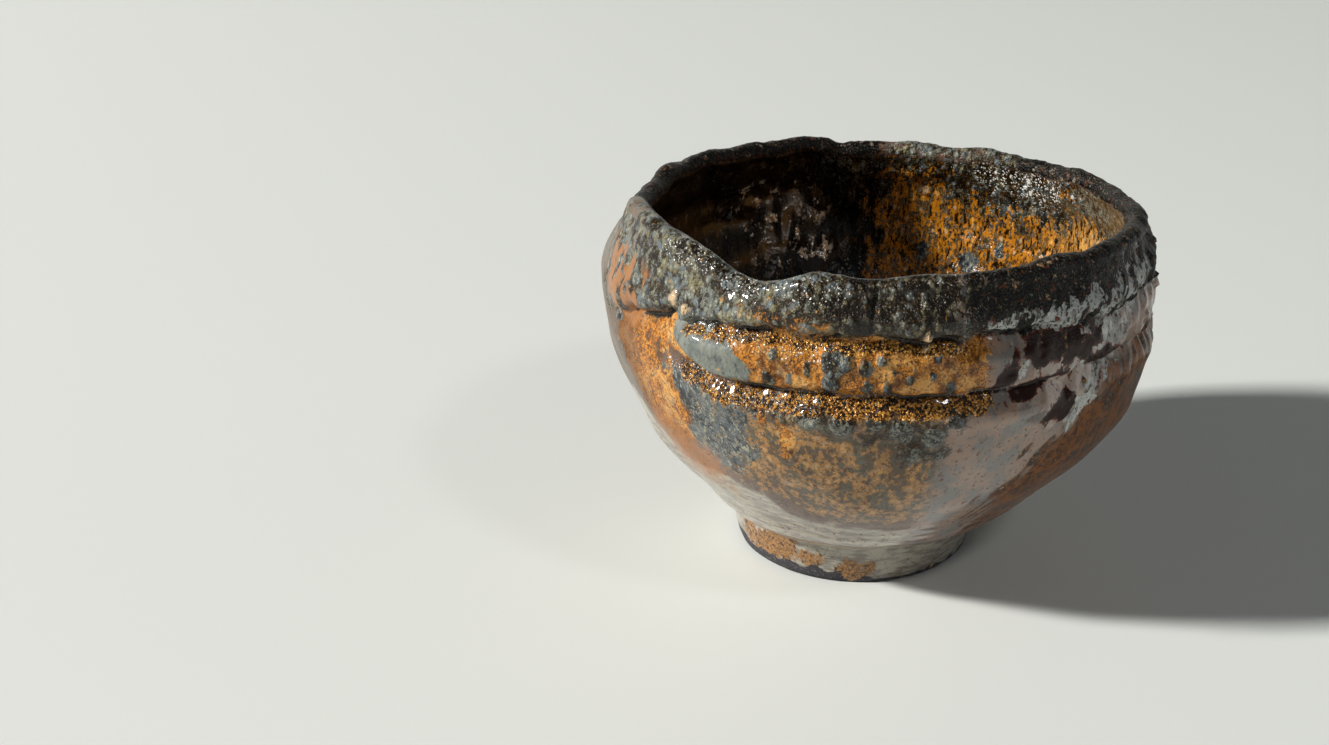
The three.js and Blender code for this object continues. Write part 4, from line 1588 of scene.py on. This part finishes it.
        # Near-black ground of the inside, partly painted shade.
        dark = sheet.mix(k.inner, k.inner_brown, self.of(drift=0.6, fleck=0.4).step(0.5, 0.58))
        level = self.of(fleck=0.65, drift=0.35)
        grey = (self.of(run=0.6, fleck=0.4) + self.shake(grain=0.5)).step(0.49, 0.54)
        dots = self.chance["Red"].step(0.82, 0.86) * self.grains["Distance"].step(0.36, 0.16)
        amber = sheet.layers(
            k.amber_deep,
            (k.amber, level.step(0.41, 0.5)),
            (k.amber_pale, level.step(0.57, 0.64) * 0.8),
            (k.amber_pale, m["bright"] * level.step(0.43, 0.54) * 0.8),
            (sheet.mix(k.ash_brown, k.ash_grey, self.fine_top), grey * (1.0 - m["bright"] * 0.5) * 0.9),
            (k.cream, dots * 0.8),
        )
        gaps = self.of(drift=0.5, grain=0.5).step(0.49, 0.57) * (1.0 - m["washed"])
        streaks = sheet.mix(k.ash_brown, k.ash_pale, self.of(run=0.5, speck=0.5).step(0.44, 0.56))
        ash = sheet.layers(
            self.ash_colour(),
            (k.black, gaps * 0.8),
            (streaks, m["washed"] * self.of(run=0.5, fleck=0.5).step(0.42, 0.54) * 0.9),
            (k.ash_brown, m["washed"] * self.of(drift=0.6, speck=0.4).step(0.48, 0.56) * 0.7),
        )
        sparks = self.fine_chance["Green"].step(0.45, 0.55) * self.fine_grains["Distance"].step(0.6, 0.25)
        sparks = sparks + self.chance["Blue"].step(0.6, 0.7) * self.grains["Distance"].step(0.42, 0.25)
        inside = sheet.layers(
            dark,
            (amber, self.ragged("amber", 0.3, 1.5)),
            (k.rust_deep, self.ragged("inner_brown", 0.3, 1.5) * 0.8),
            (ash, self.ragged("inner_rim", 0.16, 2.0)),
            (self.slate_colour(), self.ragged("inner_stone", 0.2, 1.2)),
            (k.cream, m["inner_nub"]),
            (k.glint_white, self.crinkles()),
            # Painted white glints under the rim inside.
            (k.glint_white, self.painted_glitter("inner_painted_glints", sparks, 0.5, 0.3)),
        )
        return sheet.mix(colour, inside, m["inner"])

    def roughness(self) -> Link:
        """Returns how rough each finish is."""
        m = self.masks
        rough: Value = self.plain_roughness
        for value, share in (
            (0.4, m["ash"]),
            (0.44, m["rust"]),
            (0.24, m["gold"] + m["glint_white"]),
            (0.32, m["mauve_and_reflection"] + m["umber"] + m["flow"] + m["black"] + m["wine"]),
            (0.42, m["pale"] + m["black"]),
            (0.5, m["foot"]),
            (0.85, m["clay"]),
            (0.16, m["inner"]),
        ):
            rough = self.sheet.blend(rough, value, share)
        return (rough + self.crinkles() * 0.1 + self.shake(speck=0.2)).clamped()

    def crinkles(self) -> Link:
        """Returns the bright facets of the crinkled gloss inside."""
        return self.masks["glint"] * self.of(cloud=0.4, drift=0.4, grain=0.2).step(0.53, 0.575)

    def metallic(self) -> Link:
        """Returns how mirror-like the painted glints, the grit and the crinkled gloss inside are."""
        m = self.masks
        sparks = m["glint_white"] * self.fine_top * 0.6
        return (self.crinkles() + m["gold"] * self.fine_top * 0.5 + sparks).clamped()

    def coat(self) -> Link:
        """Returns how much clear gloss lies over each finish."""
        m = self.masks
        inside = m["inner"] * (0.25 + m["amber"] * 0.75 + m["glint"]).clamped()
        glossy = (m["mauve_and_reflection"] * 0.6 + inside + m["flow"] * 0.6 + m["gold"] * 0.3 + m["glint_white"] * 0.4).clamped()
        dull = (m["black"] + m["clay"] + m["wine"] + m["rust"] * 0.6 + m["umber"] * 0.5).clamped()
        return self.sheet.blend(self.plain_coat, 1.0, glossy) * (1.0 - dull)

    def normal(self) -> Link:
        """Returns the finest relief."""
        m = self.masks
        crusty = (m["ash"] + m["olive"] + m["blob"] * 0.4 + m["slate"] * 0.3 + m["inner_rim"]).clamped()
        height = total((
            crusty * self.of(top=0.8, fine_top=0.3, grain=0.6),
            m["gold"] * self.of(fine_top=0.35, speck=0.4),
            m["rust"] * self.of(grain=0.45),
            m["black"] * self.of(fine_top=0.3, grain=0.8),
            m["glint_white"] * self.of(fine_top=0.4),
            (1.0 - 0.5 * m["mauve_and_reflection"]) * self.of(speck=0.12, grain=0.16),
            (m["clay"] + m["tan"]).clamped() * self.of(speck=0.3, grain=0.3),
            m["inner"] * self.of(drift=0.8, fleck=0.5),
            m["glint"] * self.of(drift=1.6, grain=0.8),
        ))
        inputs = {"Strength": 1.0, "Distance": self.bump * MM, "Height": height}
        return self.sheet.node("ShaderNodeBump", {}, inputs)["Normal"]


@dataclass(frozen=True)
class Lamp:
    """A square soft light: its azimuth, elevation, distance and side in metres, and its watts."""

    name: str
    azimuth: float
    elevation: float
    distance: float
    size: float
    power: float
    colour: Colour

    def hang(self, aim: Vector) -> None:
        """Hangs the light so that it faces a point.

        Args:
            aim: The point, in metres.
        """
        data = bpy.data.lights.new(self.name, "AREA")
        data.shape = "SQUARE"
        data.size = self.size
        data.energy = self.power
        data.color = self.colour
        light = bpy.data.objects.new(self.name, data)
        bpy.context.collection.objects.link(light)
        turn, rise = math.radians(self.azimuth), math.radians(self.elevation)
        out = Vector((math.cos(turn) * math.cos(rise), math.sin(turn) * math.cos(rise), math.sin(rise)))
        light.location = out * self.distance + aim
        light.rotation_euler = (-out).to_track_quat("-Z", "Y").to_euler()


@dataclass
class Studio:
    """A plain pale floor that curves up behind, soft light and the camera."""

    floor_half: float = 3.6
    cove_start: float = 2.8
    cove_radius: float = 0.5
    wall_height: float = 0.9
    floor_colour: Colour = paint(230, 233, 229)
    elevation: float = 23.98
    distance: float = 0.4226
    focal_pixels: float = 1924.0
    roll: float = 2.56
    aim: tuple[float, float, float] = (-0.00067, 0.00205, 0.04)
    bowl_pixel: tuple[float, float] = (873.2, 367.0)
    picture: tuple[int, int] = (1329, 745)
    sensor: float = 36.0
    lamps: tuple[Lamp, ...] = (
        Lamp("key", 196.0, 31.0, 5.0, 0.42, 370.0, (1.0, 0.985, 0.95)),
        Lamp("glint", 316.0, 48.0, 1.2, 0.12, 1.4, (0.97, 0.98, 1.0)),
        Lamp("right_panel", 8.0, 12.0, 1.3, 0.6, 0.9, (0.95, 0.98, 1.0)),
    )
    lamp_aim: float = 0.04
    room_colour: Colour = (0.92, 0.95, 1.0)
    room_strength: float = 0.04

    def camera(self) -> bpy.types.Object:
        """Places the camera where the photograph was taken from.

        Returns:
            The camera.
        """
        width, height = self.picture
        data = bpy.data.cameras.new("camera")
        data.sensor_width = self.sensor
        data.lens = self.focal_pixels / width * self.sensor
        data.shift_x = (width / 2 - self.bowl_pixel[0]) / width
        data.shift_y = (self.bowl_pixel[1] - height / 2) / width
        data.clip_start = 0.01
        camera = bpy.data.objects.new("camera", data)
        bpy.context.collection.objects.link(camera)
        rise = math.radians(self.elevation)
        look = Vector((0.0, math.cos(rise), -math.sin(rise)))
        camera.location = Vector(self.aim) - look * self.distance
        turn = look.to_track_quat("-Z", "Y").to_matrix().to_4x4()
        turn = turn @ Matrix.Rotation(math.radians(self.roll), 4, "Z")
        camera.rotation_euler = turn.to_euler()
        bpy.context.scene.camera = camera
        return camera

    def floor(self) -> bpy.types.Object:
        """Makes the floor and the wall behind it as one swept sheet.

        Returns:
            The floor.
        """
        bm = bmesh.new()
        left = -self.floor_half * 2
        start = bm.verts.new((left, -self.floor_half, 0.0))
        end = bm.verts.new((left, self.cove_start, 0.0))
        bm.edges.new((start, end))
        cove = bmesh.ops.spin(
            bm, geom=[end], cent=(left, self.cove_start, self.cove_radius), axis=(1.0, 0.0, 0.0),
            dvec=(0.0, 0.0, 0.0), angle=math.pi / 2, steps=24, use_merge=False, use_duplicate=False,
        )
        top = next(item for item in cove["geom_last"] if isinstance(item, bmesh.types.BMVert))
        wall = bm.verts.new(top.co + Vector((0.0, 0.0, self.wall_height)))
        bm.edges.new((top, wall))
        swept = bmesh.ops.extrude_edge_only(bm, edges=bm.edges[:])
        moved = [item for item in swept["geom"] if isinstance(item, bmesh.types.BMVert)]
        bmesh.ops.translate(bm, verts=moved, vec=(self.floor_half * 4, 0.0, 0.0))
        bmesh.ops.recalc_face_normals(bm, faces=bm.faces[:])
        mesh = bpy.data.meshes.new("floor")
        bm.to_mesh(mesh)
        bm.free()
        mesh.polygons.foreach_set("use_smooth", [True] * len(mesh.polygons))
        floor = bpy.data.objects.new("floor", mesh)
        bpy.context.collection.objects.link(floor)
        sheet = NodeSheet("floor_paint")
        inputs = {"Base Color": (*self.floor_colour, 1.0), "Roughness": 0.6}
        surface = sheet.node("ShaderNodeBsdfPrincipled", {}, inputs)
        sheet.node("ShaderNodeOutputMaterial", {}, {"Surface": surface["BSDF"]})
        mesh.materials.append(sheet.material)
        return floor

    def lights(self) -> None:
        """Adds the lamps and the dim surroundings."""
        for lamp in self.lamps:
            lamp.hang(Vector((0.0, 0.0, self.lamp_aim)))
        world = bpy.data.worlds.new("pale_room")
        world.use_nodes = True
        background = world.node_tree.nodes["Background"]
        background.inputs["Color"].default_value = (*self.room_colour, 1.0)
        background.inputs["Strength"].default_value = self.room_strength
        bpy.context.scene.world = world
        bpy.context.scene.view_settings.view_transform = "Standard"


def main() -> None:
    """Builds the bowl, dresses it and sets the studio."""
    logging.basicConfig(level=logging.INFO, format="%(message)s")
    studio = Studio()
    studio.camera()
    bowl = TeaBowl().build()
    bowl.data.materials.append(GlazeFinish().build())
    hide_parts("bowl")
    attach(bowl, "root")
    log.info("bowl_glazed: %d vertices, %d faces", len(bowl.data.vertices), len(bowl.data.polygons))
    studio.floor()
    studio.lights()


if __name__ == "__main__":
    main()
